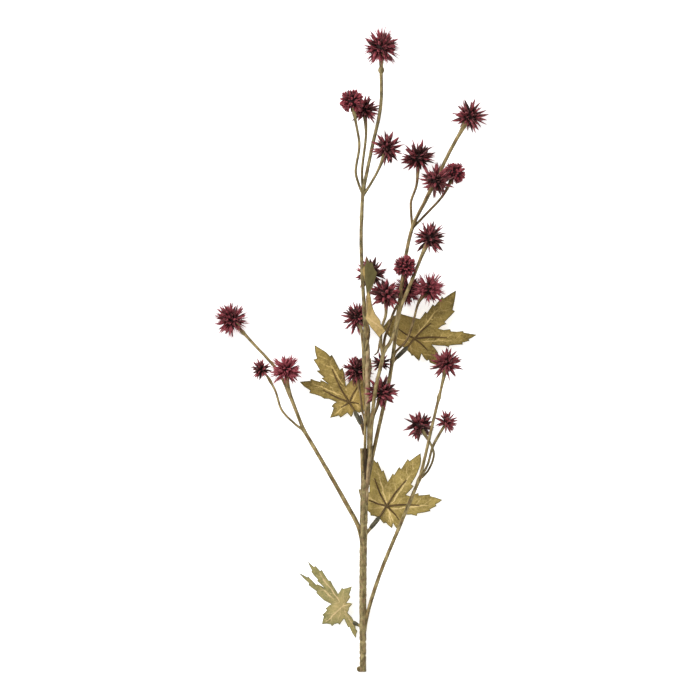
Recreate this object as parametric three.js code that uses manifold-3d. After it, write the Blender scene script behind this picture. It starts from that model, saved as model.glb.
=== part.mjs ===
// A sanicle stem lying on its side: one taped stalk that divides into thin branches, with
// twenty-four spiky burr heads and five lobed leaves. Millimetres, +Z up, the stalk along +Y.
import * as THREE from 'three';
import { mergeVertices } from 'three/addons/utils/BufferGeometryUtils.js';
import Module from 'manifold-3d';

const wasm = await Module();
wasm.setup();

// Driving dimensions. Routes and places are measured from the stalk's cut end.
const SEAT = 0.3;            // gap between a piece and what carries it
const STEM_SIDES = 6;
const STEM_STEP = 13;        // length of one straight run along a stem
const BLADE = 0.8;           // thickness of a leaf blade
const PLEAT = 2.5;           // depth of the folds between a leaf's ribs
const PLEAT_WIDTH = 12;      // distance from a rib at which its fold is at full depth
const BURR_DETAIL = 1;       // each face of the core ball carries one spike
const BARE_ANGLE = 0.5;      // no spikes this close to the pedicel, in radians
const LEAN = 0.22;           // how far a spike leans away from straight out
const SHORTEST = 0.86;       // shortest spike against the longest

const WELD = 0.001;          // corners closer than this are one corner

const STALK_FINISH = { color: 0x8f7f52, roughness: 0.75, metalness: 0 };
const TWIG_FINISH = { color: 0x85724a, roughness: 0.75, metalness: 0 };
const LEAF_FINISH = { color: 0xa08c4a, roughness: 0.7, metalness: 0 };
const BURR_FINISH = { color: 0x6e2136, roughness: 0.8, metalness: 0 };

// Every stem piece is a list of tubes: a route, and the radii at its two ends.
const stems = {
  main_stem: [
    {
      route: [
        [0, 0, 2.9], [0, 81, 9.5], [0.5, 141, 17], [1.5, 193.5, 25], [2.5, 224, 31],
      ],
      radii: [3.4, 4.2],
    },
  ],
  branch_inner: [
    { route: [[2, 212, 29], [2, 230, 32.5], [2, 248, 35]], radii: [3.4, 3.6] },
    {
      route: [
        [2, 236, 33.5], [2.5, 267, 38], [2, 300, 41], [0, 338.5, 43], [-0.5, 366, 40],
        [-3, 384, 36], [-5, 391.5, 33.5],
      ],
      radii: [1.6, 1.2],
    },
    {
      route: [
        [2, 272, 38], [1, 285, 37.5], [-1, 294.5, 35], [-2, 305, 32], [-4, 317.5, 28.5],
        [-6, 333.8, 26.3],
      ],
      radii: [1.1, 1.3],
    },
  ],
  branch_top: [
    {
      route: [
        [3, 212, 28], [5.5, 232, 30], [6.5, 250, 33], [6.5, 285, 41], [5.5, 322, 47],
        [3.5, 355.5, 51], [2, 397, 55], [-0.5, 440.5, 56], [-2, 484.5, 56], [-1, 520, 54],
        [0.5, 541, 52], [3, 553, 51], [10.5, 589, 47], [18.5, 624.5, 43], [20.5, 641.5, 41],
        [20.5, 674.5, 38.5], [20.5, 694, 37.4],
      ],
      radii: [2.3, 1.6],
    },
    { route: [[20.4, 672, 38.7], [20.5, 680, 38.2]], radii: [2.9, 2.6] },
    { route: [[0.5, 534, 53], [5, 541, 54], [16, 560, 57], [25, 581, 58]], radii: [1.2, 1.4] },
    {
      route: [
        [0.5, 533, 53], [-5, 547.5, 54], [-8, 560, 56.5], [-4, 590, 60.5], [-7.5, 613, 62],
        [-11.5, 634.5, 62],
      ],
      radii: [1.1, 1.4],
    },
    { route: [[0.5, 533, 52], [-1, 560, 45], [3.5, 603, 39], [2.2, 625, 36.5]], radii: [1.1, 1.4] },
    {
      route: [
        [3, 366, 51.5], [3.5, 380, 47], [6, 406, 34], [8.3, 441.5, 30.1],
      ],
      radii: [1.2, 1.4],
    },
  ],
  branch_centre: [
    {
      route: [
        [3, 212, 31], [7, 228, 34.5], [9.5, 250, 39], [10, 284, 51], [14.5, 319.5, 62.5],
        [21, 347.5, 67], [24, 361, 68], [29.5, 368, 66], [36.5, 387, 60], [42, 424, 51],
        [48.5, 469, 45], [56.5, 501, 39], [73.5, 534.5, 32.5], [99, 586.5, 23], [117, 618.5, 17.9],
      ],
      radii: [2.3, 1.6],
    },
    {
      route: [
        [55.5, 497, 39.5], [54, 515, 36.5], [54, 527.5, 35], [60, 545.5, 33], [62, 571, 30.2],
      ],
      radii: [1.2, 1.4],
    },
    { route: [[55, 496, 40], [64.5, 518, 48], [74, 537, 53], [79.5, 545, 54]], radii: [1.2, 1.4] },
    {
      route: [
        [56, 498, 39.7], [69, 511.5, 40], [89.5, 534, 36], [100.8, 555, 33.5],
      ],
      radii: [1.2, 1.4],
    },
    {
      route: [
        [39.5, 404, 54.5], [42, 419.5, 55.5], [44.5, 438.5, 59], [46.3, 449.5, 59.9],
      ],
      radii: [1.1, 1.4],
    },
    {
      route: [
        [22.5, 353, 67.5], [20, 371, 66], [21.5, 387, 61.5], [25.5, 400.5, 58], [26, 418, 55],
      ],
      radii: [1.3, 1.5],
    },
    {
      route: [
        [23.5, 359, 67.5], [24, 372.5, 60], [29, 387, 50], [36, 406.5, 36], [48.3, 424.5, 23.5],
      ],
      radii: [1.2, 1.4],
    },
    {
      route: [
        [9.5, 262, 43.5], [11.5, 284, 45.5], [15.5, 296.5, 46.5], [19.4, 309, 47.8],
      ],
      radii: [1.3, 1.5],
    },
    {
      route: [
        [9.5, 258, 41.5], [10, 282.5, 37], [15, 321, 29], [19, 337, 38], [20.9, 345, 48.2],
      ],
      radii: [1.1, 1.2],
    },
  ],
  branch_right: [
    {
      route: [
        [3.5, 210, 28], [10, 230, 30.5], [15.5, 258, 33], [23.5, 297, 32], [27, 313, 32],
        [32, 342.5, 39], [35, 365.5, 50], [39, 393.5, 62.5], [42, 407.5, 64], [55.5, 440.5, 57],
        [67.5, 470.5, 47], [72.8, 482, 43.3],
      ],
      radii: [2.1, 1.5],
    },
    {
      route: [
        [33, 350, 42], [37, 359, 47], [48.5, 371.5, 53], [55.5, 390, 56], [63, 415.5, 52.5],
        [71, 424.5, 50.5],
      ],
      radii: [1.2, 1.4],
    },
  ],
  branch_left: [
    {
      route: [
        [0.5, 140, 17.5], [-5, 163, 20], [-19, 189.5, 24], [-39, 225, 28], [-69, 276, 34],
      ],
      radii: [2.5, 2.1],
    },
    {
      route: [
        [-67.5, 273, 33.8], [-71, 282.5, 31], [-82, 309.5, 25], [-94, 335.5, 22],
        [-124, 369.5, 19], [-144.3, 391.5, 17.4],
      ],
      radii: [1.8, 1.5],
    },
    { route: [[-137, 383.2, 18.2], [-132, 378, 18.4]], radii: [2.5, 2.8] },
    {
      route: [
        [-66, 271, 33.4], [-75, 294, 38.5], [-83.5, 319.5, 44], [-85.6, 333.5, 45],
      ],
      radii: [1.3, 1.5],
    },
    {
      route: [
        [-66, 270.5, 33.2], [-78, 280, 34.5], [-91, 294, 33], [-98, 315, 32], [-107.5, 332, 32],
        [-112, 337, 32],
      ],
      radii: [1.2, 1.3],
    },
  ],
  branch_low_right: [
    {
      route: [
        [1, 40, 6.5], [4.5, 62, 9.5], [18.5, 108, 18], [40, 161, 30], [53.5, 193.5, 37],
        [65, 221, 42],
      ],
      radii: [2.1, 1.9],
    },
    {
      route: [
        [64, 218, 41.5], [70, 243.5, 44.5], [80, 287, 45.5], [88.5, 322, 43], [92.7, 341, 42.1],
      ],
      radii: [1.7, 1.5],
    },
    {
      route: [
        [62.5, 215, 40.5], [73, 226, 37], [79.5, 243.5, 33.5], [77, 253.5, 32], [65.8, 272.2, 27],
      ],
      radii: [1.2, 1.4],
    },
    {
      route: [
        [63.5, 217, 41.5], [72, 231.5, 41], [78.5, 253.5, 40], [92.6, 278.6, 40],
      ],
      radii: [1.2, 1.4],
    },
  ],
};

// Every head: its centre, its reach to the spike tips, its core against the reach, and where
// its pedicel comes in from.
const heads = {
  burr_a: { centre: [20.5, 699.5, 37], reach: 19.5, from: [20.5, 680, 38] },
  burr_b: { centre: [-12.5, 639, 62], reach: 13, core: 0.6, from: [-9, 622, 62] },
  burr_c: { centre: [2, 629.5, 36], reach: 17, from: [2.5, 612, 38] },
  burr_d: { centre: [27, 586.5, 58], reach: 18, from: [21.5, 571.5, 58] },
  burr_e: { centre: [119.5, 622.5, 17], reach: 19, from: [108.5, 604, 20] },
  burr_f: { centre: [62, 576, 30], reach: 19, from: [62, 556, 32] },
  burr_g: { centre: [82, 550.5, 54], reach: 18.5, from: [74, 537, 53] },
  burr_h: { centre: [102.5, 559, 33], reach: 12, core: 0.6, from: [96, 546, 35] },
  burr_i: { centre: [74.5, 486, 42], reach: 18.5, from: [67.5, 470, 47] },
  burr_j: { centre: [47, 454, 60], reach: 12.5, core: 0.6, from: [44.5, 440, 59] },
  burr_k: { centre: [8.5, 446.5, 30], reach: 17, from: [7, 428, 31] },
  burr_l: { centre: [26, 423, 54.5], reach: 18, from: [25.5, 405, 57.5] },
  burr_m: { centre: [51, 428.5, 22], reach: 17, from: [40, 415, 30] },
  burr_n: { centre: [74, 429.5, 50], reach: 17.5, from: [63, 416, 52] },
  burr_o: { centre: [-6.5, 397, 32], reach: 16.5, from: [-3, 382, 36] },
  burr_p: { centre: [-6.5, 338.5, 26], reach: 17, from: [-4.5, 322, 28] },
  burr_q: { centre: [20.5, 313.5, 48], reach: 17.5, from: [15.5, 299, 47] },
  burr_r: { centre: [21, 346.5, 50], reach: 10, core: 0.34, from: [19, 337, 39] },
  burr_s: { centre: [93.5, 345.5, 42], reach: 17.5, from: [89.5, 327, 43] },
  burr_t: { centre: [63.5, 276, 26], reach: 16, from: [73, 260, 30] },
  burr_u: { centre: [93.5, 280.5, 40], reach: 11.5, core: 0.34, from: [86, 268, 40.5] },
  burr_v: { centre: [-147.5, 395, 16.5], reach: 18.5, from: [-134, 380, 18] },
  burr_w: { centre: [-114, 339, 32], reach: 11, core: 0.34, from: [-106, 330, 32] },
  burr_x: { centre: [-86, 338, 45], reach: 17.5, from: [-84, 321, 44] },
};
const CORE_SHARE = 0.42;

// Every leaf: its vein centre, and its lobes anticlockwise. A lobe has its tip, the points of
// its cut edge up to the tip and down from it, and the notch that follows it.
const leaves = {
  leaf_left: {
    centre: [-15.5, 302.5, 9],
    lobes: [
      {
        tip: [9.1, 352.7, 5],
        rising: [[3.5, 314], [8.5, 329.7], [10.2, 340.9]],
        falling: [[2.4, 343.2], [-7.7, 333.1]],
        notch: [-19, 321],
      },
      {
        tip: [-54.4, 366.9, 9],
        rising: [[-20.5, 334.2], [-22.8, 341.4], [-25.4, 338.1], [-30.1, 347.1], [-34.6, 355.9],
          [-36.2, 353.2], [-41.3, 358.8]],
        falling: [[-53.6, 358.8], [-51.6, 351.2], [-55.9, 350.6], [-52, 344.8], [-48.3, 338.5],
          [-52.5, 338], [-46.9, 333.1], [-43.8, 330.4], [-46.7, 329.5]],
        notch: [-38.9, 323],
      },
      {
        tip: [-71.2, 325.5, 6],
        rising: [[-43, 325.5], [-47.6, 327.5], [-47.8, 325.4], [-53.6, 326.9], [-58.8, 329.1],
          [-58.9, 326.6]],
        falling: [[-66, 320.1], [-59, 315.6], [-60.4, 312.7], [-53.6, 311.1], [-46.9, 308.9],
          [-43.7, 306.4], [-38, 306.2]],
        notch: [-29.7, 302.6],
      },
      {
        tip: [-37.1, 284.7, 5],
        rising: [[-32.4, 301.2], [-35.4, 297.9], [-32.9, 296.1], [-34.6, 291.1]],
        falling: [[-31.8, 286], [-27, 287.4], [-25.2, 284.9], [-21.2, 287.7]],
        notch: [-17.5, 290.5],
      },
      {
        tip: [-13.3, 285.4, 6],
        rising: [[-15.3, 288.1]],
        falling: [[-11.1, 288.7]],
        notch: [-10, 294.4],
      },
      {
        tip: [-3.5, 290.1, 8],
        rising: [[-6.8, 291.6]],
        falling: [[-0.8, 296.1]],
        notch: [-0.8, 305.1],
      },
    ],
    stalk: [[-15.5, 302.5, 8.4], [-6.5, 291.5, 15], [-3, 277, 27], [1, 267, 36.5]],
  },
  leaf_right: {
    centre: [57.7, 373.9, 20],
    lobes: [
      {
        tip: [128, 378.3, 8],
        rising: [[84, 366], [92, 365.7], [96.3, 364.1], [97.3, 366.1], [104.7, 366.8], [112.4, 367.2],
          [111.7, 369.2], [115.5, 370.3], [119.7, 371.4], [118.7, 373], [123.3, 375.2]],
        falling: [[120, 379.5], [113.1, 380.8], [112.9, 382.5], [105.5, 381.7], [98.8, 382.1],
          [98.2, 384.6], [90.4, 383.6]],
        notch: [84.8, 385.1],
      },
      {
        tip: [104.7, 428.1, 10],
        rising: [[88.7, 388.1], [94, 390.3], [91.8, 392.4], [98.7, 399.4], [103.3, 404.4],
          [100.8, 406.4], [102.3, 412.6], [104, 421.6]],
        falling: [[98.2, 424.3], [90.6, 418.9], [88.8, 421], [84.6, 415.5], [80.3, 410.5],
          [78.5, 412.6], [75.2, 407.5], [71.9, 402.6], [70.1, 404.3], [67.2, 399.8]],
        notch: [64, 395.9],
      },
      {
        tip: [22.5, 386.8, 14],
        rising: [[57.6, 397.5], [50.4, 399.4], [42.7, 401.7], [35.4, 399.7], [28.7, 395.2]],
        falling: [[26.4, 379.6], [30.9, 374.5], [36.4, 368.9], [40, 365.1], [43.8, 365.6]],
        notch: [48.7, 361.5],
      },
      {
        tip: [63.2, 348.5, 14],
        rising: [[53.2, 357.4], [54.7, 354.4], [56, 355.8], [59.5, 352.1]],
        falling: [[64.7, 353]],
        notch: [65.6, 356.9],
      },
      {
        tip: [84.1, 343.2, 12],
        rising: [[68.9, 351.6], [71.7, 348.8], [74, 350.2], [74.9, 347.1], [79.6, 345.2]],
        falling: [[85.7, 349.9], [84.3, 358.4], [81, 363.3]],
        notch: [77.6, 366.7],
      },
    ],
    stalk: [[57.5, 374, 19.4], [49.5, 364, 25], [39.5, 354.5, 35], [33, 347.5, 41.5]],
  },
  leaf_low_right: {
    centre: [26.7, 185.9, 11],
    lobes: [
      {
        tip: [89.5, 192.9, 7],
        rising: [[50.5, 176.1], [54.3, 176.3], [60.4, 174.7], [61.3, 177.5], [68.8, 178.6], [76, 180.2],
          [75.3, 182.3], [79.2, 184.2], [82.8, 185.8], [81.4, 187.7], [85.8, 190]],
        falling: [[82.3, 195.4], [75.7, 197], [75.3, 199.2], [69.6, 198.5], [62.9, 198], [62.4, 200.9],
          [57.8, 199], [52.3, 197.1]],
        notch: [48.4, 198.6],
      },
      {
        tip: [64.8, 245.5, 9],
        rising: [[53.3, 203.6], [57.3, 208.4], [54.2, 210.2], [59.7, 219.6], [62.9, 227.1],
          [64.8, 232.4], [65.6, 239.2]],
        falling: [[58.4, 241], [52.3, 236.4], [50.4, 238.9], [46.7, 233.5], [43, 227.6], [40.7, 229.9],
          [38, 225.5], [35.1, 220.9], [33.4, 222.8], [30.6, 217.3]],
        notch: [27.8, 213.1],
      },
      {
        tip: [12.3, 238.3, 8],
        rising: [[26.2, 218.1], [23.3, 226.4], [21.3, 224.9], [19.2, 230], [16.6, 236.4], [15.3, 234.6]],
        falling: [[10.2, 230.8], [8.1, 220.4], [7.4, 211]],
        notch: [7.3, 201.4],
      },
      {
        tip: [-5, 204.7, 4],
        rising: [[1.2, 204.7]],
        falling: [[-2.7, 194.2], [1.8, 183.6], [8.3, 178], [8.6, 175.1], [12.8, 174.8]],
        notch: [18.5, 172.5],
      },
      {
        tip: [32.5, 160.8, 5],
        rising: [[21.4, 168.4], [23.4, 166.3], [25.2, 167.8], [28.8, 164]],
        falling: [[33.4, 163.5]],
        notch: [34, 166.7],
      },
      {
        tip: [39.5, 158.4, 5],
        rising: [[36.2, 162.8]],
        falling: [[42.7, 166.2], [44.2, 171.8]],
        notch: [44.5, 176.5],
      },
    ],
    stalk: [[26.5, 186, 10.4], [18.5, 173.5, 12], [8, 160.5, 16], [0.5, 151.5, 18.5]],
  },
  leaf_low_left: {
    centre: [-25, 72.5, 14],
    lobes: [
      {
        tip: [-11.5, 76.4, 15],
        rising: [[-16, 68.8], [-15.1, 72.1]],
        falling: [[-14.7, 77.4]],
        notch: [-18.4, 77.5],
      },
      {
        tip: [-12.2, 96.2, 20],
        rising: [[-16.4, 80], [-13.8, 84.1], [-15.2, 86.7], [-13.6, 91.2]],
        falling: [[-17.8, 94.2], [-22.3, 93.2], [-23.4, 95], [-25.2, 91.2]],
        notch: [-27.8, 87.4],
      },
      {
        tip: [-62.2, 124.8, 24],
        rising: [[-30.6, 92.2], [-33.8, 97.3], [-36.1, 102.4], [-38.6, 102.6], [-43, 109.3],
          [-46.1, 114.7], [-48, 113.3], [-50.3, 116], [-52.9, 118.9], [-54.9, 118], [-57.8, 120.5]],
        falling: [[-59.5, 118.5], [-57, 113.7], [-58, 112.6], [-54.7, 108.1], [-50.7, 104],
          [-51.2, 101.9], [-47.4, 98.6]],
        notch: [-43.5, 94.4],
      },
      {
        tip: [-72.1, 111.1, 10],
        rising: [[-46.6, 96.3], [-51, 98.2], [-52.3, 97.4], [-57, 102.5], [-60.9, 106.5],
          [-62.6, 106.2], [-67.4, 108.9]],
        falling: [[-66.6, 104.9], [-60.5, 99.5], [-61, 97.2], [-57, 94], [-51.6, 90.2], [-52.3, 88.3],
          [-48.2, 84.4], [-43.5, 80], [-38.6, 77.7]],
        notch: [-35.2, 76],
      },
      {
        tip: [-46, 53.1, 4],
        rising: [[-38.6, 73.7], [-42, 70.8], [-40.2, 69.3], [-42.6, 66.5], [-45.9, 63.7], [-43.8, 62.4],
          [-45.1, 57.8]],
        falling: [[-41, 53.8], [-36.2, 53.2], [-34.6, 50.8], [-32.1, 53.2], [-28.2, 54.3], [-26, 52.6],
          [-23.4, 56.6]],
        notch: [-21.1, 59.4],
      },
      {
        tip: [-7.8, 37, 3],
        rising: [[-18.8, 54.4], [-16.5, 49.6], [-15, 50.1], [-11.8, 43]],
        falling: [[-7.4, 41.9], [-6, 45.6], [-8, 48], [-8.5, 53.1], [-12.2, 60.9]],
        notch: [-17.1, 66.1],
      },
    ],
    stalk: [[-25, 72.5, 13.4], [-16.5, 66.5, 13], [-7.5, 58.5, 11], [-0.5, 51, 7.5]],
  },
  leaf_top: {
    centre: [5.6, 396.9, 63],
    lobes: [
      {
        tip: [25.5, 382.6, 70],
        rising: [[8.7, 386.2], [12, 382.6], [15.1, 378.6], [18.7, 374.1], [20.5, 377.7], [23.2, 379.7]],
        falling: [[22.7, 386.3], [19.9, 390.2], [19.7, 393.6], [17.9, 396.3], [14.2, 401]],
        notch: [11.5, 407],
      },
      {
        tip: [3.9, 466.4, 76],
        rising: [[9.9, 413.2], [9, 419.9], [6.7, 426.8], [10.6, 430.5], [12.2, 435.5], [14.7, 442.8],
          [16, 447.6], [14, 450], [12.3, 452.7], [10.5, 459], [7.3, 458.5], [6, 462.6]],
        falling: [[3.5, 460.8], [3, 457], [-0.1, 453.2], [-1.3, 450.4], [-0.6, 445.8], [1.1, 440.8],
          [2.8, 435.5], [3.4, 429.4], [4.3, 421.6], [4.7, 412.6]],
        notch: [4.4, 403.6],
      },
      {
        tip: [2.2, 396.5, 61],
        rising: [],
        falling: [],
        notch: [6.7, 389.5],
      },
    ],
    stalk: [[5.5, 397, 62.4], [5.5, 388, 60], [5.5, 372.5, 57], [3.5, 361, 52.5]],
  },
};
const STALK_RADII = [1.1, 1.6];
const SLEEVE_RADII = [2.0, 2.3];
const WIDER = 0.06;          // share by which a millimetre of clearance widens a blade

// Seeded draws from 0 to 1 by a linear congruence, so that the same spikes stand in the same
// places every time.
const DRAW_FACTOR = 1664525;
const DRAW_STEP = 1013904223;
const DRAW_RANGE = 2 ** 32;

function draws(seed) {
  let state = seed;
  return () => {
    state = (state * DRAW_FACTOR + DRAW_STEP) % DRAW_RANGE;
    return state / DRAW_RANGE;
  };
}

// Turns a closed geometry into a solid that can be joined and cut.
function solid(geometry) {
  geometry.deleteAttribute('normal');
  geometry.deleteAttribute('uv');
  const welded = mergeVertices(geometry, WELD);
  const corners = welded.index.array;
  const kept = [];
  for (let i = 0; i < corners.length; i += 3) {
    const [a, b, c] = [corners[i], corners[i + 1], corners[i + 2]];
    if (a !== b && b !== c && c !== a) kept.push(a, b, c);
  }
  return new wasm.Manifold(new wasm.Mesh({
    numProp: 3,
    vertProperties: new Float32Array(welded.attributes.position.array),
    triVerts: new Uint32Array(kept),
  }));
}

// The largest body of a solid, so that a spike or a sliver cut loose is dropped.
function largest(body) {
  return body.decompose().reduce((best, next) => (next.volume() > best.volume() ? next : best));
}

// A round stem along a route: a long cylinder whose rings are carried onto the curve.
function tube(route, [first, last], growth = 0) {
  const curve = new THREE.CatmullRomCurve3(route.map((point) => new THREE.Vector3(...point)));
  const steps = Math.max(2, Math.round(curve.getLength() / STEM_STEP));
  const frames = curve.computeFrenetFrames(steps);
  const cylinder = new THREE.CylinderGeometry(1, 1, 1, STEM_SIDES, steps);
  const spots = cylinder.attributes.position;
  for (let i = 0; i < spots.count; i += 1) {
    const along = spots.getY(i) + 0.5;
    const ring = Math.round(along * steps);
    const radius = first + (last - first) * along + growth;
    const spot = curve.getPointAt(ring / steps);
    spot.addScaledVector(frames.binormals[ring], spots.getX(i) * radius);
    spot.addScaledVector(frames.normals[ring], spots.getZ(i) * radius);
    if (ring === 0) spot.addScaledVector(frames.tangents[0], -growth);
    if (ring === steps) spot.addScaledVector(frames.tangents[steps], growth);
    spots.setXYZ(i, spot.x, spot.y, Math.max(growth ? -growth : 0, spot.z));
  }
  return solid(cylinder);
}

function joined(solids) {
  return solids.reduce((whole, piece) => whole.add(piece));
}

function stemSolid(parts, growth = 0) {
  return joined(parts.map(({ route, radii }) => tube(route, radii, growth)));
}

// A burr head: a ball whose every face is drawn out into one spike, with a bare patch round
// the pedicel. Spikes that would reach under the surface stop on it.
function burr({ centre, reach, core = CORE_SHARE, from }, seed) {
  const draw = draws(seed);
  const ball = new THREE.IcosahedronGeometry(reach * core, BURR_DETAIL);
  const middle = new THREE.Vector3(...centre);
  const pedicel = new THREE.Vector3(...from).sub(middle).normalize();
  const spots = ball.attributes.position;
  const faces = [];
  for (let i = 0; i < spots.count; i += 3) {
    const corners = [0, 1, 2].map((k) => new THREE.Vector3().fromBufferAttribute(spots, i + k));
    const out = new THREE.Vector3().add(corners[0]).add(corners[1]).add(corners[2]).normalize();
    const lean = new THREE.Vector3(draw() - 0.5, draw() - 0.5, draw() - 0.5).multiplyScalar(LEAN);
    const length = reach * (SHORTEST + (1 - SHORTEST) * draw());
    if (out.angleTo(pedicel) < BARE_ANGLE) {
      faces.push(...corners);
      continue;
    }
    const tip = out.add(lean).normalize().multiplyScalar(length);
    tip.z = Math.max(tip.z, -middle.z);
    for (let k = 0; k < 3; k += 1) faces.push(corners[k], corners[(k + 1) % 3], tip);
  }
  const geometry = new THREE.BufferGeometry().setFromPoints(faces);
  geometry.translate(...centre);
  return solid(geometry);
}

// A point of a lobe's edge in space: on the slope of the lobe's rib, less the fold beside it.
function edgePoint([x, y], centre, tip) {
  const rib = new THREE.Vector2(tip.x - centre.x, tip.y - centre.y);
  const away = new THREE.Vector2(x - centre.x, y - centre.y);
  const share = away.dot(rib) / rib.lengthSq();
  const across = Math.abs(away.cross(rib)) / rib.length();
  const fold = PLEAT * Math.min(1, across / PLEAT_WIDTH);
  return new THREE.Vector3(x, y, centre.z + (tip.z - centre.z) * share - fold);
}

// The two halves of every lobe, as rings of points round each: the leaf's middle, the cut edge,
// and the rib between the middle and the tip. A notch takes the mean height of its two lobes.
function halfLobes({ centre, lobes }) {
  const middle = new THREE.Vector3(...centre);
  const tips = lobes.map(({ tip }) => new THREE.Vector3(...tip));
  const notches = lobes.map(({ notch }, k) => {
    const after = edgePoint(notch, middle, tips[(k + 1) % tips.length]);
    return edgePoint(notch, middle, tips[k]).lerp(after, 0.5);
  });
  return lobes.flatMap(({ rising, falling }, k) => {
    const before = notches[(k + notches.length - 1) % notches.length];
    const up = rising.map((point) => edgePoint(point, middle, tips[k]));
    const down = falling.map((point) => edgePoint(point, middle, tips[k]));
    return [[middle, before, ...up, tips[k]], [middle, tips[k], ...down, notches[k]]];
  });
}

// A leaf blade: its half lobes filled with triangles, the same on both faces, and walled along
// the cut edge.
function blade(leaf, growth = 0) {
  const middle = new THREE.Vector3(...leaf.centre);
  const drop = new THREE.Vector3(0, 0, -BLADE - 2 * growth);
  const faces = [];
  for (const ring of halfLobes(leaf)) {
    const top = ring.map((point) => {
      const spot = middle.clone().lerp(point, 1 + growth * WIDER);
      spot.z = Math.max(spot.z, BLADE) + growth;
      return spot;
    });
    const under = top.map((spot) => spot.clone().add(drop));
    for (const [a, b, c] of THREE.ShapeUtils.triangulateShape(top, [])) {
      faces.push(top[a], top[b], top[c], under[c], under[b], under[a]);
    }
    for (let k = 1; k < ring.length - 1; k += 1) {
      faces.push(top[k], under[k], top[k + 1], top[k + 1], under[k], under[k + 1]);
    }
  }
  return solid(new THREE.BufferGeometry().setFromPoints(faces));
}

// A leaf with its own stalk and the thicker sleeve that holds it on the branch.
function leafSolid(leaf, growth = 0) {
  const [start, bend, low, end] = leaf.stalk;
  const stalk = tube([start, bend, low, end], STALK_RADII, growth);
  const sleeve = tube([bend.map((value, axis) => (value + low[axis]) / 2), low, end], SLEEVE_RADII, growth);
  return joined([blade(leaf, growth), stalk, sleeve]);
}

function mesh(name, body, finish) {
  const cut = body.getMesh();
  const geometry = new THREE.BufferGeometry();
  geometry.setAttribute('position', new THREE.BufferAttribute(new Float32Array(cut.vertProperties), 3));
  geometry.setIndex(new THREE.BufferAttribute(new Uint32Array(cut.triVerts), 1));
  geometry.computeVertexNormals();
  const piece = new THREE.Mesh(geometry, new THREE.MeshStandardMaterial(finish));
  piece.name = name;
  return piece;
}

const spray = new THREE.Group();
const clearances = [];

// Stems are seated on the ones before them: each later one is cut clear of the earlier.
for (const [name, parts] of Object.entries(stems)) {
  let body = stemSolid(parts);
  for (const taken of clearances) body = body.subtract(taken);
  spray.add(mesh(name, largest(body), name === 'main_stem' ? STALK_FINISH : TWIG_FINISH));
  clearances.push(stemSolid(parts, SEAT));
}

for (const [name, leaf] of Object.entries(leaves)) {
  let body = leafSolid(leaf);
  for (const taken of clearances) body = body.subtract(taken);
  spray.add(mesh(name, largest(body), LEAF_FINISH));
}
clearances.push(...Object.values(leaves).map((leaf) => leafSolid(leaf, SEAT)));

Object.entries(heads).forEach(([name, head], order) => {
  let body = burr(head, order + 1);
  for (const taken of clearances) body = body.subtract(taken);
  spray.add(mesh(name, largest(body), BURR_FINISH));
});

// The spray stands over its own origin: the middle of its box, on the surface.
const box = new THREE.Box3().setFromObject(spray);
spray.position.set(-(box.min.x + box.max.x) / 2, -(box.min.y + box.max.y) / 2, -box.min.z);

export default spray;
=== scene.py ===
import bpy
import numpy as np
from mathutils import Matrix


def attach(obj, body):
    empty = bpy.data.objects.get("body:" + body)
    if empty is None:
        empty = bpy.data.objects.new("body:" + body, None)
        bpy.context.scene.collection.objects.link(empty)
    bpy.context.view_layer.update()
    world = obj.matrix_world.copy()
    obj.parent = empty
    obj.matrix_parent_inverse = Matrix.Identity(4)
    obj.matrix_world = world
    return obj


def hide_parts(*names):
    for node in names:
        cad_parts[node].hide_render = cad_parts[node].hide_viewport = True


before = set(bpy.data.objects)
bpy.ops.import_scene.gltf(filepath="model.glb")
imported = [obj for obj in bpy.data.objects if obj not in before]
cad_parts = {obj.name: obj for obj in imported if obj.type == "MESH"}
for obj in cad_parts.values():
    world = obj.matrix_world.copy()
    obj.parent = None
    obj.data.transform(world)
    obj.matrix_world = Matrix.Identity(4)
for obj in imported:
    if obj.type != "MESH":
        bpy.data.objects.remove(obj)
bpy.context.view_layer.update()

# The view. The spray lies on its back and is seen from straight above, with the top head at
# the top of the picture, as in the photo. The camera stands far off with a long lens.
PICTURE = 0.7840             # what the picture's 700 pixels span at the spray, in metres
CAMERA_HEIGHT = 12.0
SENSOR = 36.0
SPRAY_HEIGHT = 0.035         # the height that the picture's scale holds for
PICTURE_MIDDLE = (-14.45, 361.1)   # from the stalk's cut end, in millimetres


def node_points(name):
    """The points of one of the frame's solids, in metres."""
    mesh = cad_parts[name].data
    spots = np.empty(len(mesh.vertices) * 3)
    mesh.vertices.foreach_get("co", spots)
    return spots.reshape(-1, 3)


# The middle of the stalk's cut end, set down on the surface: its points have the lowest y.
foot = node_points("main_stem")
foot = foot[foot[:, 1] < foot[:, 1].min() + 1e-4]
CUT_END = (foot.min(axis=0) + foot.max(axis=0)) / 2 * [1, 1, 0]

camera = bpy.data.objects.new("camera", bpy.data.cameras.new("camera"))
camera.data.sensor_width = SENSOR
camera.data.lens = SENSOR * CAMERA_HEIGHT / PICTURE
camera.data.clip_end = 100
camera.location = (
    CUT_END[0] + PICTURE_MIDDLE[0] / 1000,
    CUT_END[1] + PICTURE_MIDDLE[1] / 1000,
    CAMERA_HEIGHT + SPRAY_HEIGHT,
)
bpy.context.scene.collection.objects.link(camera)
bpy.context.scene.camera = camera
bpy.context.scene.view_settings.view_transform = "Standard"

# The studio: a plain white floor, an even white sky and one wide lamp from the upper left.
FLOOR_HALF = 3.0
SKY_STRENGTH = 0.6
LAMP_POWER = 62
FLOOR_WHITE = (0.93, 0.93, 0.93, 1)
FLOOR_GLOW = 0.6
LAMP_SIZE = 1.6
LAMP_PLACE = (-1.3, 1.1, 2.2)

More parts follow.
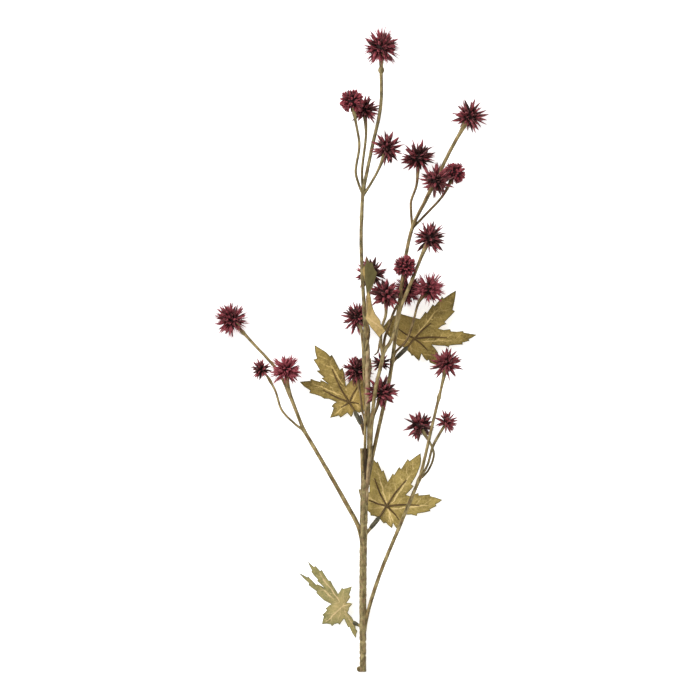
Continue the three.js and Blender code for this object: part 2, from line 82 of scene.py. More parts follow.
world = bpy.data.worlds.new("sky")
world.use_nodes = True
world.node_tree.nodes["Background"].inputs["Color"].default_value = (1, 1, 1, 1)
world.node_tree.nodes["Background"].inputs["Strength"].default_value = SKY_STRENGTH
bpy.context.scene.world = world

lamp = bpy.data.objects.new("lamp", bpy.data.lights.new("lamp", "AREA"))
lamp.data.energy = LAMP_POWER
lamp.data.size = LAMP_SIZE
lamp.location = LAMP_PLACE
lamp.rotation_mode = "QUATERNION"
lamp.rotation_quaternion = lamp.location.to_track_quat("Z", "Y")
bpy.context.scene.collection.objects.link(lamp)

floor_mesh = bpy.data.meshes.new("floor")
corners = [(x * FLOOR_HALF, y * FLOOR_HALF, 0) for x, y in ((-1, -1), (1, -1), (1, 1), (-1, 1))]
floor_mesh.from_pydata(corners, [], [(0, 1, 2, 3)])
floor = bpy.data.objects.new("floor", floor_mesh)
floor_paint = bpy.data.materials.new("floor_white")
floor_paint.use_nodes = True
floor_shader = floor_paint.node_tree.nodes["Principled BSDF"]
floor_shader.inputs["Base Color"].default_value = FLOOR_WHITE
floor_shader.inputs["Roughness"].default_value = 0.9
floor_shader.inputs["Emission Color"].default_value = (1, 1, 1, 1)
floor_shader.inputs["Emission Strength"].default_value = FLOOR_GLOW
floor_mesh.materials.append(floor_paint)
bpy.context.scene.collection.objects.link(floor)


# The stalk. A stiff stem, 7.5 mm thick at the cut and about 9 mm at the top, wound with khaki
# paper tape. The tape is joined in places, with a pale waist at each joint, and its end curls
# out at the cut. A joint has its distance along the stalk, and its depth against a whole one.
STALK_ROUTE = [(0, 0, 4), (0, 81, 10), (0.5, 141, 17), (1.5, 193.5, 25), (2.5, 224, 31)]
STALK_RADII = (3.75, 4.6)
TAPE_JOINTS = ((18.4, 1), (34, 1), (83.5, 0.45), (118, 0.45), (141.5, 0.5), (166, 0.65))
JOINT_DEPTH = 0.6
JOINT_WIDTH = 1.5
JOINT_GLOW = 0.24            # how much paler the tape is at a whole joint
GLOW_WIDTH = 2
BLACK = (0, 0, 0)
SHEEN = 0.25                 # how strongly the paper, plastic and cloth mirror the sky
CURVE_STEPS = 24             # how finely a curve is drawn between two points of its route


def travelled(line):
    """How far along a line each of its points is."""
    return np.concatenate([[0], np.cumsum(np.linalg.norm(np.diff(line, axis=0), axis=1))])


def line_at(places, far, line):
    """The points of a line at some places, given how far along it each of its own points is."""
    return np.stack([np.interp(places, far, line[:, axis]) for axis in range(3)], axis=1)


def smooth_route(route, step):
    """Points a fixed step apart on a curve through the route. Between two points the curve is
    a cubic whose end slopes come from the neighbours, paced by the roots of the gaps."""
    knots = np.array(route, float)
    knots = np.vstack([2 * knots[0] - knots[1], knots, 2 * knots[-1] - knots[-2]])
    p0, p1, p2, p3 = knots[:-3, None], knots[1:-2, None], knots[2:-1, None], knots[3:, None]
    pace = np.sqrt(np.linalg.norm(np.diff(knots, axis=0), axis=1))[:, None, None]
    d0, d1, d2 = pace[:-2], pace[1:-1], pace[2:]
    slope1 = ((p1 - p0) / d0 - (p2 - p0) / (d0 + d1) + (p2 - p1) / d1) * d1
    slope2 = ((p2 - p1) / d1 - (p3 - p1) / (d1 + d2) + (p3 - p2) / d2) * d1
    t = np.linspace(0, 1, CURVE_STEPS, endpoint=False)[None, :, None]
    curve = (
        (2 * t**3 - 3 * t**2 + 1) * p1 + (t**3 - 2 * t**2 + t) * slope1
        + (3 * t**2 - 2 * t**3) * p2 + (t**3 - t**2) * slope2
    ).reshape(-1, 3)
    curve = np.vstack([curve, knots[-2]])
    along = travelled(curve)
    even = np.linspace(0, along[-1], max(4, int(np.ceil(along[-1] / step)) + 1))
    return line_at(even, along, curve), even


def wall_quads(rings, sides):
    """The quads of a wall of rings, each closed round, ring by ring."""
    row, column = np.meshgrid(np.arange(rings - 1), np.arange(sides), indexing="ij")
    this, after = row * sides + column, row * sides + (column + 1) % sides
    return np.stack([this, this + sides, after + sides, after], axis=2).reshape(-1, 4)


def fan(start, sides, point):
    """The triangles from a ring, counted from its first point, to one point."""
    ring = np.arange(sides)
    return np.stack([start + ring, start + (ring + 1) % sides, np.full(sides, point)], axis=1)


def swept(route, radius, sides=14, step=1.5):
    """A closed tube. Its surface runs along the route and once round it: the route's point
    plus the radius times a unit circle square to the route. radius is a function of the
    distance along and the angle. Gives points, faces and a corner list of (turn, distance)."""
    middle, along = smooth_route(route, step)
    heading = np.gradient(middle, axis=0)
    heading /= np.linalg.norm(heading, axis=1, keepdims=True)
    side = np.cross(heading, [0, 0, 1])
    side /= np.linalg.norm(side, axis=1, keepdims=True)
    over = np.cross(side, heading)
    angle = np.linspace(0, 2 * np.pi, sides, endpoint=False)
    reach = radius(along[:, None], angle[None, :]) * np.ones((len(along), sides))
    circle = np.cos(angle)[:, None] * side[:, None] + np.sin(angle)[:, None] * over[:, None]
    spots = (middle[:, None] + reach[..., None] * circle).reshape(-1, 3)
    quads = wall_quads(len(along), sides)
    column = np.tile(np.arange(sides), len(along) - 1)[:, None]
    row = np.repeat(np.arange(len(along) - 1), sides)[:, None]
    turn, distance = (column + [0, 0, 1, 1]) / sides, along[row + [0, 1, 1, 0]]
    first, last = len(spots), len(spots) + 1
    spots = np.vstack([spots, middle[0], middle[-1]])
    caps = np.concatenate([fan(0, sides, first), fan(first - sides, sides, last)[:, ::-1]])
    cap_marks = np.concatenate([np.zeros((sides, 3, 2)), np.full((sides, 3, 2), [0, along[-1]])])
    return spots, [quads, caps], [np.stack([turn, distance], axis=2), cap_marks]


def joined(surfaces):
    """Several surfaces as one: points end to end, and face numbers moved up to match."""
    spots, faces, marks, base = [], [], [], 0
    for surface_spots, surface_faces, surface_marks in surfaces:
        spots.append(surface_spots)
        faces += [rows + base for rows in surface_faces]
        marks += surface_marks
        base += len(surface_spots)
    return np.vstack(spots), faces, marks


def dressed(name, surface, material, slot, *nodes):
    """Makes the object of a surface in millimetres from the cut end. Its faces are filled in
    one pass each for corners, faces and marks, and it stands for its nodes."""
    spots, faces, marks = surface
    mesh = bpy.data.meshes.new(name)
    corners = np.concatenate([rows.ravel() for rows in faces])
    sizes = np.concatenate([np.full(len(rows), rows.shape[1]) for rows in faces])
    mesh.vertices.add(len(spots))
    mesh.vertices.foreach_set("co", (spots / 1000 + CUT_END).ravel())
    mesh.loops.add(len(corners))
    mesh.loops.foreach_set("vertex_index", corners.astype(np.int32))
    mesh.polygons.add(len(sizes))
    mesh.polygons.foreach_set("loop_start", (np.cumsum(sizes) - sizes).astype(np.int32))
    mesh.polygons.foreach_set("use_smooth", np.ones(len(sizes), bool))
    mesh.uv_layers.new(name="marks")
    flat_marks = np.concatenate([rows.reshape(-1, 2) for rows in marks])
    mesh.uv_layers["marks"].data.foreach_set("uv", flat_marks.ravel())
    mesh.update(calc_edges=True)
    mesh.validate()
    mesh.materials.append(material)
    piece = bpy.data.objects.new(name, mesh)
    bpy.context.scene.collection.objects.link(piece)
    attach(piece, "root")
    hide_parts(*nodes)
    return piece


class Paint:
    """A new material, with short ways to add nodes to it. Its marks are the piece's own UV
    map, and its place is the piece's Object coordinates."""

    def __init__(self, name, roughness):
        self.material = bpy.data.materials.new(name)
        self.material.use_nodes = True
        self.tree = self.material.node_tree
        self.shader = self.tree.nodes["Principled BSDF"]
        self.shader.inputs["Roughness"].default_value = roughness
        self.shader.inputs["Specular IOR Level"].default_value = SHEEN
        self.marks = self.node("UVMap").outputs["UV"]
        self.place = self.node("TexCoord").outputs["Object"]

    def node(self, kind, *values, **inputs):
        """A node with its inputs set or linked, by their order or by their names."""
        made = self.tree.nodes.new("ShaderNode" + kind)
        for key, value in [*enumerate(values), *inputs.items()]:
            self.fill(made.inputs[key], value)
        return made

    def fill(self, socket, value):
        """Links another node's output to a socket, or else sets its value."""
        if isinstance(value, bpy.types.NodeSocket):
            self.tree.links.new(value, socket)
        else:
            socket.default_value = value

    def math(self, operation, *values):
        made = self.node("Math", *values)
        made.operation = operation
        return made.outputs[0]

    def add(self, first, second):
        return self.math("ADD", first, second)

    def less(self, first, second):
        return self.math("SUBTRACT", first, second)

    def times(self, first, second):
        return self.math("MULTIPLY", first, second)

    def noise(self, place, scale, detail, roughness=0.5):
        made = self.node("TexNoise", Vector=place, Scale=scale, Detail=detail, Roughness=roughness)
        return made.outputs["Fac"]

    def mapped(self, scale, shift=(0, 0, 0)):
        """The marks, stretched and shifted."""
        return self.node("Mapping", Vector=self.marks, Scale=scale, Location=shift).outputs["Vector"]

    def spanned(self, value, *spans):
        """The value moved from one span to another, each given by its two ends."""
        return self.node("MapRange", value, *spans).outputs["Result"]

    def fade(self, value, low, high):
        """One at the low value and below, nought at the high value and above."""
        made = self.node("MapRange", value, low, high, 1.0, 0.0)
        made.interpolation_type = "SMOOTHSTEP"
        return made.outputs["Result"]

    def ramp(self, value, *stops):
        """A colour ramp over the value, with its stops as (place, colour)."""
        made = self.node("ValToRGB", value)
        marks = made.color_ramp.elements
        marks[0].position, marks[0].color = stops[0][0], (*stops[0][1], 1)
        marks[1].position, marks[1].color = stops[-1][0], (*stops[-1][1], 1)
        for place, colour in stops[1:-1]:
            marks.new(place).color = (*colour, 1)
        return made.outputs["Color"]

    def mix(self, under, amount, over):
        """One colour with another laid over it."""
        made = self.node("Mix")
        made.data_type = "RGBA"
        self.fill(made.inputs[0], amount)
        self.fill(made.inputs[6], under)
        self.fill(made.inputs[7], (*over, 1) if isinstance(over, tuple) else over)
        return made.outputs[2]

    def rim(self):
        """How a point lies to its edge: the value that the surface holds for it."""
        made = self.node("Attribute")
        made.attribute_name = "rim"
        return made.outputs["Fac"]

    def finished(self, colour, relief, strength, depth):
        """The material with its colour, and its relief as a bump of a depth in metres."""
        bump = self.node("Bump", Strength=strength, Distance=depth, Height=relief)
        self.fill(self.shader.inputs["Base Color"], colour)
        self.fill(self.shader.inputs["Normal"], bump.outputs["Normal"])
        return self.material


def stem_material(name, pale, middle, dark, blush, joints=()):
    """A stem's paint: long streaks along it, some of them reddish, and fine grain. Taped, it
    is crinkled across, and paler at each joint. The marks are the turn round the stem and the
    distance along it."""
    paint = Paint(name, 0.58)
    round_it = 2.4 if joints else 1.4
    streaks = paint.noise(paint.mapped((round_it, 0.03, 1)), 3, 4, 0.6)
    patches = paint.spanned(paint.noise(paint.place, 70, 2), 0, 1, -0.12, 0.12)
    level, relief = paint.add(patches, streaks), streaks
    if joints:
        crinkles = paint.noise(paint.mapped((5, 0.55, 1)), 2.2, 3, 0.65)
        relief = paint.add(relief, crinkles)
        level = paint.add(level, paint.spanned(crinkles, 0.35, 0.65, -0.07, 0.07))
        length = joints[-1][0] * 1.5         # the glow's ramp ends well past the last joint
        share = paint.math("DIVIDE", paint.node("SeparateXYZ", paint.marks).outputs["Y"], length)
        stops = [(0, BLACK)]
        for joint, depth in joints:
            stops += [((joint - GLOW_WIDTH) / length, BLACK), (joint / length, (JOINT_GLOW * depth,) * 3),
                      ((joint + GLOW_WIDTH) / length, BLACK)]
        level = paint.add(level, paint.ramp(share, *stops, (1, BLACK)))
    colour = paint.ramp(level, (0.38, dark), (0.5, middle), (0.63, pale))
    redness = paint.noise(paint.mapped((round_it, 0.07, 1), (7, 3, 0)), 2.5, 3, 0.6)
    stain = paint.ramp(redness, (0.48, BLACK), (0.66, (0.7, 0.7, 0.7)))
    relief = paint.add(relief, paint.noise(paint.place, 900, 3))
    return paint.finished(paint.mix(colour, stain, blush), relief, 0.2, 0.0004)


def stalk_radius(along, angle):
    """The stalk's radius: an even taper, a waist at each joint of the tape, a slow swell
    between joints, and wrinkles that wind round it."""
    length = along.max()
    base = STALK_RADII[0] + (STALK_RADII[1] - STALK_RADII[0]) * along / length
    for joint, depth in TAPE_JOINTS:
        base = base - JOINT_DEPTH * depth * np.exp(-(((along - joint) / JOINT_WIDTH) ** 2))
    swell = 0.12 * np.sin(along * 0.37 + 1) + 0.06 * np.sin(along * 0.9)
    wrinkle = 0.07 * np.sin(along * 1.1 + angle * 3) + 0.05 * np.sin(along * 2.7 - angle * 5)
    return base + swell + wrinkle


STALK_KHAKI = stem_material("stalk_tape", (0.38, 0.305, 0.135), (0.225, 0.178, 0.075), (0.11, 0.083, 0.031),
                            (0.27, 0.165, 0.085), TAPE_JOINTS)
TAPE_CURL = [(1.5, 1.6, 2.2), (-2.0, 1.0, 3.0), (-4.6, 1.2, 3.4), (-5.6, 3.2, 3.6), (-4.2, 4.6, 3.6),
             (-3.0, 3.6, 3.5)]
CURL_RADIUS = 1.5
stalk = [
    swept(STALK_ROUTE, stalk_radius, sides=28, step=0.8),
    swept(TAPE_CURL, lambda along, angle: CURL_RADIUS + 0 * along, sides=10, step=0.5),
]
dressed("taped_stalk", joined(stalk), STALK_KHAKI, "stalk", "main_stem")


# The branches. Thin moulded stems that leave the stalk in one bundle, bound with pink tape, and
# fork into thinner pedicels. Each fork is a small swelling, and each pedicel widens under its
# head. The stems are khaki or olive, and the pedicels a paint of their own, mostly browner.
FORK_LENGTH = 3.5
FLARE = 1.3
FLARE_LENGTH = 24
FLARE_POWER = 1.5
LIP = 0.5                    # how much wider the bundle's mouth is at its very end
LIP_LENGTH = 6
UNEVEN, RIPPLE = 0.018, 0.008
THIN = 1.58                  # tubes up to this radius are pedicels
# A tube has its route, its radius at both ends, its swellings (how far along and how high) and
# its kind: "head" widens under a head, "mouth" has a lip, "knob" is a ring, "tape" is wound
# tape, the dark strand kind is painted shade, a dark tube laid where shade falls in a gap
# between tubes, and "fork", "plain" and "tip" end as they are.
BRANCHES = {
    "inner": [
        ([(2, 236, 33.5), (2.5, 267, 38), (3.1, 300, 41), (1, 338.5, 43), (-0.2, 366, 40), (-2, 384, 36),
          (-4.4, 391.5, 33.5)], (1.75, 1.4), [(46, 0.8)], "head"),
        ([(2.4, 278, 38.5), (0.9, 286.5, 37.5), (-1, 294.5, 35), (-2, 305, 32), (-4, 317.5, 28.5),
          (-6, 333.8, 26.3)], (1.2, 1.2), [], "head"),
        # Painted shade: three dark strands laid in the gaps between the bundle's tubes, where shade falls.
        ([(2.2, 216, 34.6), (2.7, 229, 35.8), (3, 251, 37)], (0.7, 1.9), [], "shade_strand"),
        ([(-2.6, 288, 29), (-1.2, 284, 31), (0.9, 274, 34)], (1.2, 0.9), [], "shade_strand"),
        ([(7.4, 226, 32.5), (9.4, 240, 34.2), (11.2, 254, 35)], (0.7, 1.0), [], "shade_strand"),
        ([(0.6, 206, 28.5), (-0.5, 230, 33.5), (-1.1, 251, 35.7)], (2.4, 2.1), [], "mouth"),
        ([(4.2, 192, 26.3), (4.4, 203, 29.2), (4.8, 216, 32.6), (6.2, 229, 35.3), (7.6, 242, 37.8)],
         (2.1, 2.2), [], "tape"),
    ],
    "top": [
        ([(3, 212, 28), (5.5, 232, 30), (6.5, 250, 33), (6.5, 285, 41), (5.5, 322, 47), (2.9, 355.5, 51),
          (1.9, 397, 55), (-0.5, 440.5, 56), (-2, 484.5, 56), (-1, 520, 54), (0.5, 541, 52), (3, 553, 51),
          (10.5, 589, 47), (18.5, 624.5, 43), (20.5, 641.5, 41), (20.5, 674.5, 38.5), (20.5, 694, 37.4)],
         (2.2, 1.95), [(331, 0.9), (300, 0.3)], "head"),
        ([(20.5, 670.8, 38.6), (20.5, 674.4, 38.5), (20.5, 678, 38.4)], (3.5, 3.6), [], "knob"),
        ([(5.4, 298, 43.2), (5.6, 316, 46), (5.2, 338.7, 49), (4.9, 356, 50.4), (4.2, 370, 51)],
         (2.9, 3.2), [], "tape"),
        ([(4.2, 364, 50.4), (4.5, 380, 52), (4.6, 392, 53.8), (4.7, 406, 56), (4.4, 422, 57.5)],
         (1.8, 1.3), [], "tape"),
        ([(0.5, 534, 53), (5, 541, 54), (16, 560, 57), (25, 581, 58)], (1.5, 1.5), [], "head"),
        ([(0.5, 533, 53), (-5, 547.5, 54), (-8, 560, 56.5), (-4, 590, 60.5), (-7.5, 613, 62),
          (-11.5, 634.5, 62)], (1.5, 1.5), [], "head"),
        ([(0.5, 533, 52), (-1, 560, 45), (3.5, 603, 39), (2.2, 625, 36.5)], (1.55, 1.45), [], "head"),
        ([(3, 366, 51.5), (3.5, 380, 47), (6, 406, 34), (8.3, 441.5, 30.1)], (1.3, 1.3), [], "head"),
    ],
    "centre": [
        ([(3, 212, 31), (6.5, 228, 34.5), (8.4, 250, 39), (10.2, 284, 51), (14.5, 319.5, 62.5),
          (21, 347.5, 67), (24, 361, 68), (29.5, 368, 66), (36.5, 387, 60), (42, 424, 51), (48.5, 469, 45),
          (56.5, 501, 39), (73.5, 534.5, 32.5), (99, 586.5, 23), (117, 618.5, 17.9)],
         (2.15, 2.0), [(156, 0.7), (306, 0.8)], "head"),
        ([(55.5, 497, 39.5), (54, 515, 36.5), (54, 527.5, 35), (60, 545.5, 33), (62, 571, 30.2)],
         (1.45, 1.5), [], "head"),
        ([(55, 496, 40), (64.5, 518, 48), (74, 537, 53), (79.5, 545, 54)], (1.45, 1.55), [], "head"),
        ([(56, 498, 39.7), (69, 511.5, 40), (89.5, 534, 36), (100.8, 555, 33.5)], (1.4, 1.4), [], "head"),
        ([(39.5, 404, 54.5), (42, 419.5, 55.5), (44.5, 438.5, 59), (46.3, 449.5, 59.9)],
         (1.3, 1.4), [], "head"),
        ([(22.5, 353, 67.5), (20, 371, 66), (21.5, 387, 61.5), (25.5, 400.5, 58), (26, 418, 55)],
         (1.8, 1.4), [], "head"),
        ([(20, 373, 66), (18.2, 366.5, 64.5), (17.3, 361, 63), (15.6, 357.6, 62), (12.6, 355.4, 61.5)],
         (1.55, 0.7), [], "tip"),
        ([(23.5, 359, 67.5), (24, 372.5, 60), (29, 387, 50), (36, 406.5, 36), (48.3, 424.5, 23.5)],
         (1.55, 1.45), [], "head"),
        ([(9.5, 262, 43.5), (11.5, 284, 45.5), (15.5, 296.5, 46.5), (19.4, 309, 47.8)],
         (1.3, 1.4), [], "head"),
        ([(9.5, 258, 41.5), (10, 282.5, 37), (15, 321, 29), (19, 337, 38), (20.9, 345, 48.2)],
         (1.2, 1.1), [], "plain"),
    ],
    "right": [
        ([(2.4, 186, 24.3), (4.9, 209, 28.4), (8.3, 230, 30.5), (14.2, 258, 33), (23, 297, 32),
          (27, 313, 32), (32, 342.5, 39), (35, 365.5, 50), (39, 393.5, 62.5), (42, 407.5, 64),
          (55.5, 440.5, 57), (67.5, 470.5, 47), (72.8, 482, 43.3)], (2.3, 1.9), [(168, 0.7)], "head"),
        ([(33, 350, 42), (37, 359, 47), (48.5, 371.5, 53), (55.5, 390, 56), (63, 415.5, 52.5),
          (71, 424.5, 50.5)], (1.4, 1.3), [], "head"),
    ],
    "left": [
        ([(0.5, 140, 17.5), (-5, 163, 20), (-19, 189.5, 24), (-39, 225, 28), (-69, 276, 34)],
         (2.6, 2.1), [(4, 0.6), (150, 0.5)], "fork"),
        ([(-67.5, 273, 33.8), (-71, 282.5, 31), (-82, 309.5, 25), (-94, 335.5, 22), (-124, 369.5, 19),
          (-144.3, 391.5, 17.4)], (1.8, 1.6), [(1, 0.5)], "head"),
        ([(-137.4, 383.8, 18.2), (-134.8, 381, 18.3), (-132.2, 378.2, 18.4)], (2.6, 2.7), [], "knob"),
        ([(-66, 271, 33.4), (-75, 294, 38.5), (-83.5, 319.5, 44), (-85.6, 333.5, 45)],
         (1.95, 1.6), [], "head"),
        ([(-66, 270.5, 33.2), (-78, 280, 34.5), (-91, 294, 33), (-98, 315, 32), (-107.5, 332, 32),
          (-112, 337, 32)], (1.4, 1.3), [(70, 0.6)], "plain"),
    ],
    "low_right": [
        ([(1, 40, 6.5), (4.5, 62, 9.5), (18.5, 108, 18), (40, 161, 30), (53.5, 193.5, 37), (65, 221, 42)],
         (2.2, 2.05), [(190, 0.5)], "fork"),
        ([(64, 218, 41.5), (70, 243.5, 44.5), (80, 287, 45.5), (88.5, 322, 43), (92.7, 341, 42.1)],
         (1.9, 1.55), [(93, 0.8)], "head"),
        ([(62.5, 215, 40.5), (73, 226, 37), (79.5, 243.5, 33.5), (77, 253.5, 32), (65.8, 272.2, 27)],
         (1.3, 1.3), [], "head"),
        ([(63.5, 217, 41.5), (72, 231.5, 41), (78.5, 253.5, 40), (92.6, 278.6, 40)],
         (1.35, 1.7), [], "plain"),
    ],
}


def branch_radius(radii, swellings, end, seed):
    """A tube's radius: an even taper, a bump at each swelling, a wider end under a head and at
    the mouth, round shoulders on a knob, thinner ends on tape, and slow unevenness from three
    waves whose phases are drawn from the seed."""
    phase = np.random.default_rng(seed).uniform(0, 2 * np.pi, 3)

    def radius(along, angle):
        length = along.max()
        value = radii[0] + (radii[1] - radii[0]) * along / length
        for place, height in swellings:
            value = value + height * np.exp(-(((along - place) / FORK_LENGTH) ** 2))
        if end == "mouth":
            value = value + LIP * np.clip(1 - (length - along) / LIP_LENGTH, 0, 1)
        if end == "knob":
            value = value * (0.6 + 0.4 * np.sin(np.pi * along / length))
        if end == "tape":
            value = value * (0.7 + 0.3 * np.clip(np.minimum(along, length - along) / FORK_LENGTH, 0, 1))
        if end == "head":
            value = value + FLARE * np.clip(1 - (length - along) / FLARE_LENGTH, 0, 1) ** FLARE_POWER
        uneven = np.sin(along * 0.17 + phase[0]) + np.sin(along * 0.43 + angle + phase[1])
        return value * (1 + UNEVEN * uneven + RIPPLE * np.sin(along * 1.7 + 2 * angle + phase[2]))

    return radius


TWIG_KHAKI = stem_material("twig_khaki", (0.42, 0.325, 0.145), (0.25, 0.192, 0.078), (0.092, 0.068, 0.025),
                           (0.2, 0.105, 0.042))
TWIG_OLIVE = stem_material("twig_olive", (0.36, 0.285, 0.125), (0.2, 0.158, 0.066), (0.078, 0.06, 0.022),
                           (0.17, 0.1, 0.045))
TWIG_BROWN = stem_material("twig_brown", (0.31, 0.215, 0.085), (0.155, 0.105, 0.038), (0.055, 0.034, 0.012),
                           (0.12, 0.048, 0.018))
TAPE_PINK = stem_material("tape_pink", (0.49, 0.38, 0.2), (0.32, 0.235, 0.12), (0.15, 0.1, 0.045),
                          (0.33, 0.18, 0.1))
# Painted shade: a near-black brown for the strands that stand in for shade in gaps between tubes.
SHADE_STRAND_BROWN = stem_material("shade_strand_brown", (0.085, 0.055, 0.022), (0.05, 0.03, 0.012), (0.022, 0.013, 0.005),
                          (0.05, 0.022, 0.01))
BRANCH_PAINTS = {
    "inner": (TWIG_KHAKI, TWIG_BROWN), "top": (TWIG_OLIVE, TWIG_OLIVE),
    "centre": (TWIG_KHAKI, TWIG_BROWN), "right": (TWIG_KHAKI, TWIG_BROWN),
    "left": (TWIG_KHAKI, TWIG_KHAKI), "low_right": (TWIG_KHAKI, TWIG_OLIVE),
}
for order, (name, tubes) in enumerate(BRANCHES.items()):
    made = {"stems": [], "pedicels": [], "tape": [], "shade_strand": []}
    for k, (route, radii, swellings, end) in enumerate(tubes):
        kind = end if end in made else "stems" if radii[0] > THIN else "pedicels"
        seed = 10 * order + k
        made[kind].append(swept(route, branch_radius(radii, swellings, end, seed), sides=12))
    # The last paint is the painted shade of the dark strands in the gaps.
    paints = (*BRANCH_PAINTS[name], TAPE_PINK, SHADE_STRAND_BROWN)
    for (kind, surfaces), paint in zip(made.items(), paints):
        if surfaces:
            dressed(f"branch_{name}_{kind}", joined(surfaces), paint, "twig", "branch_" + name)


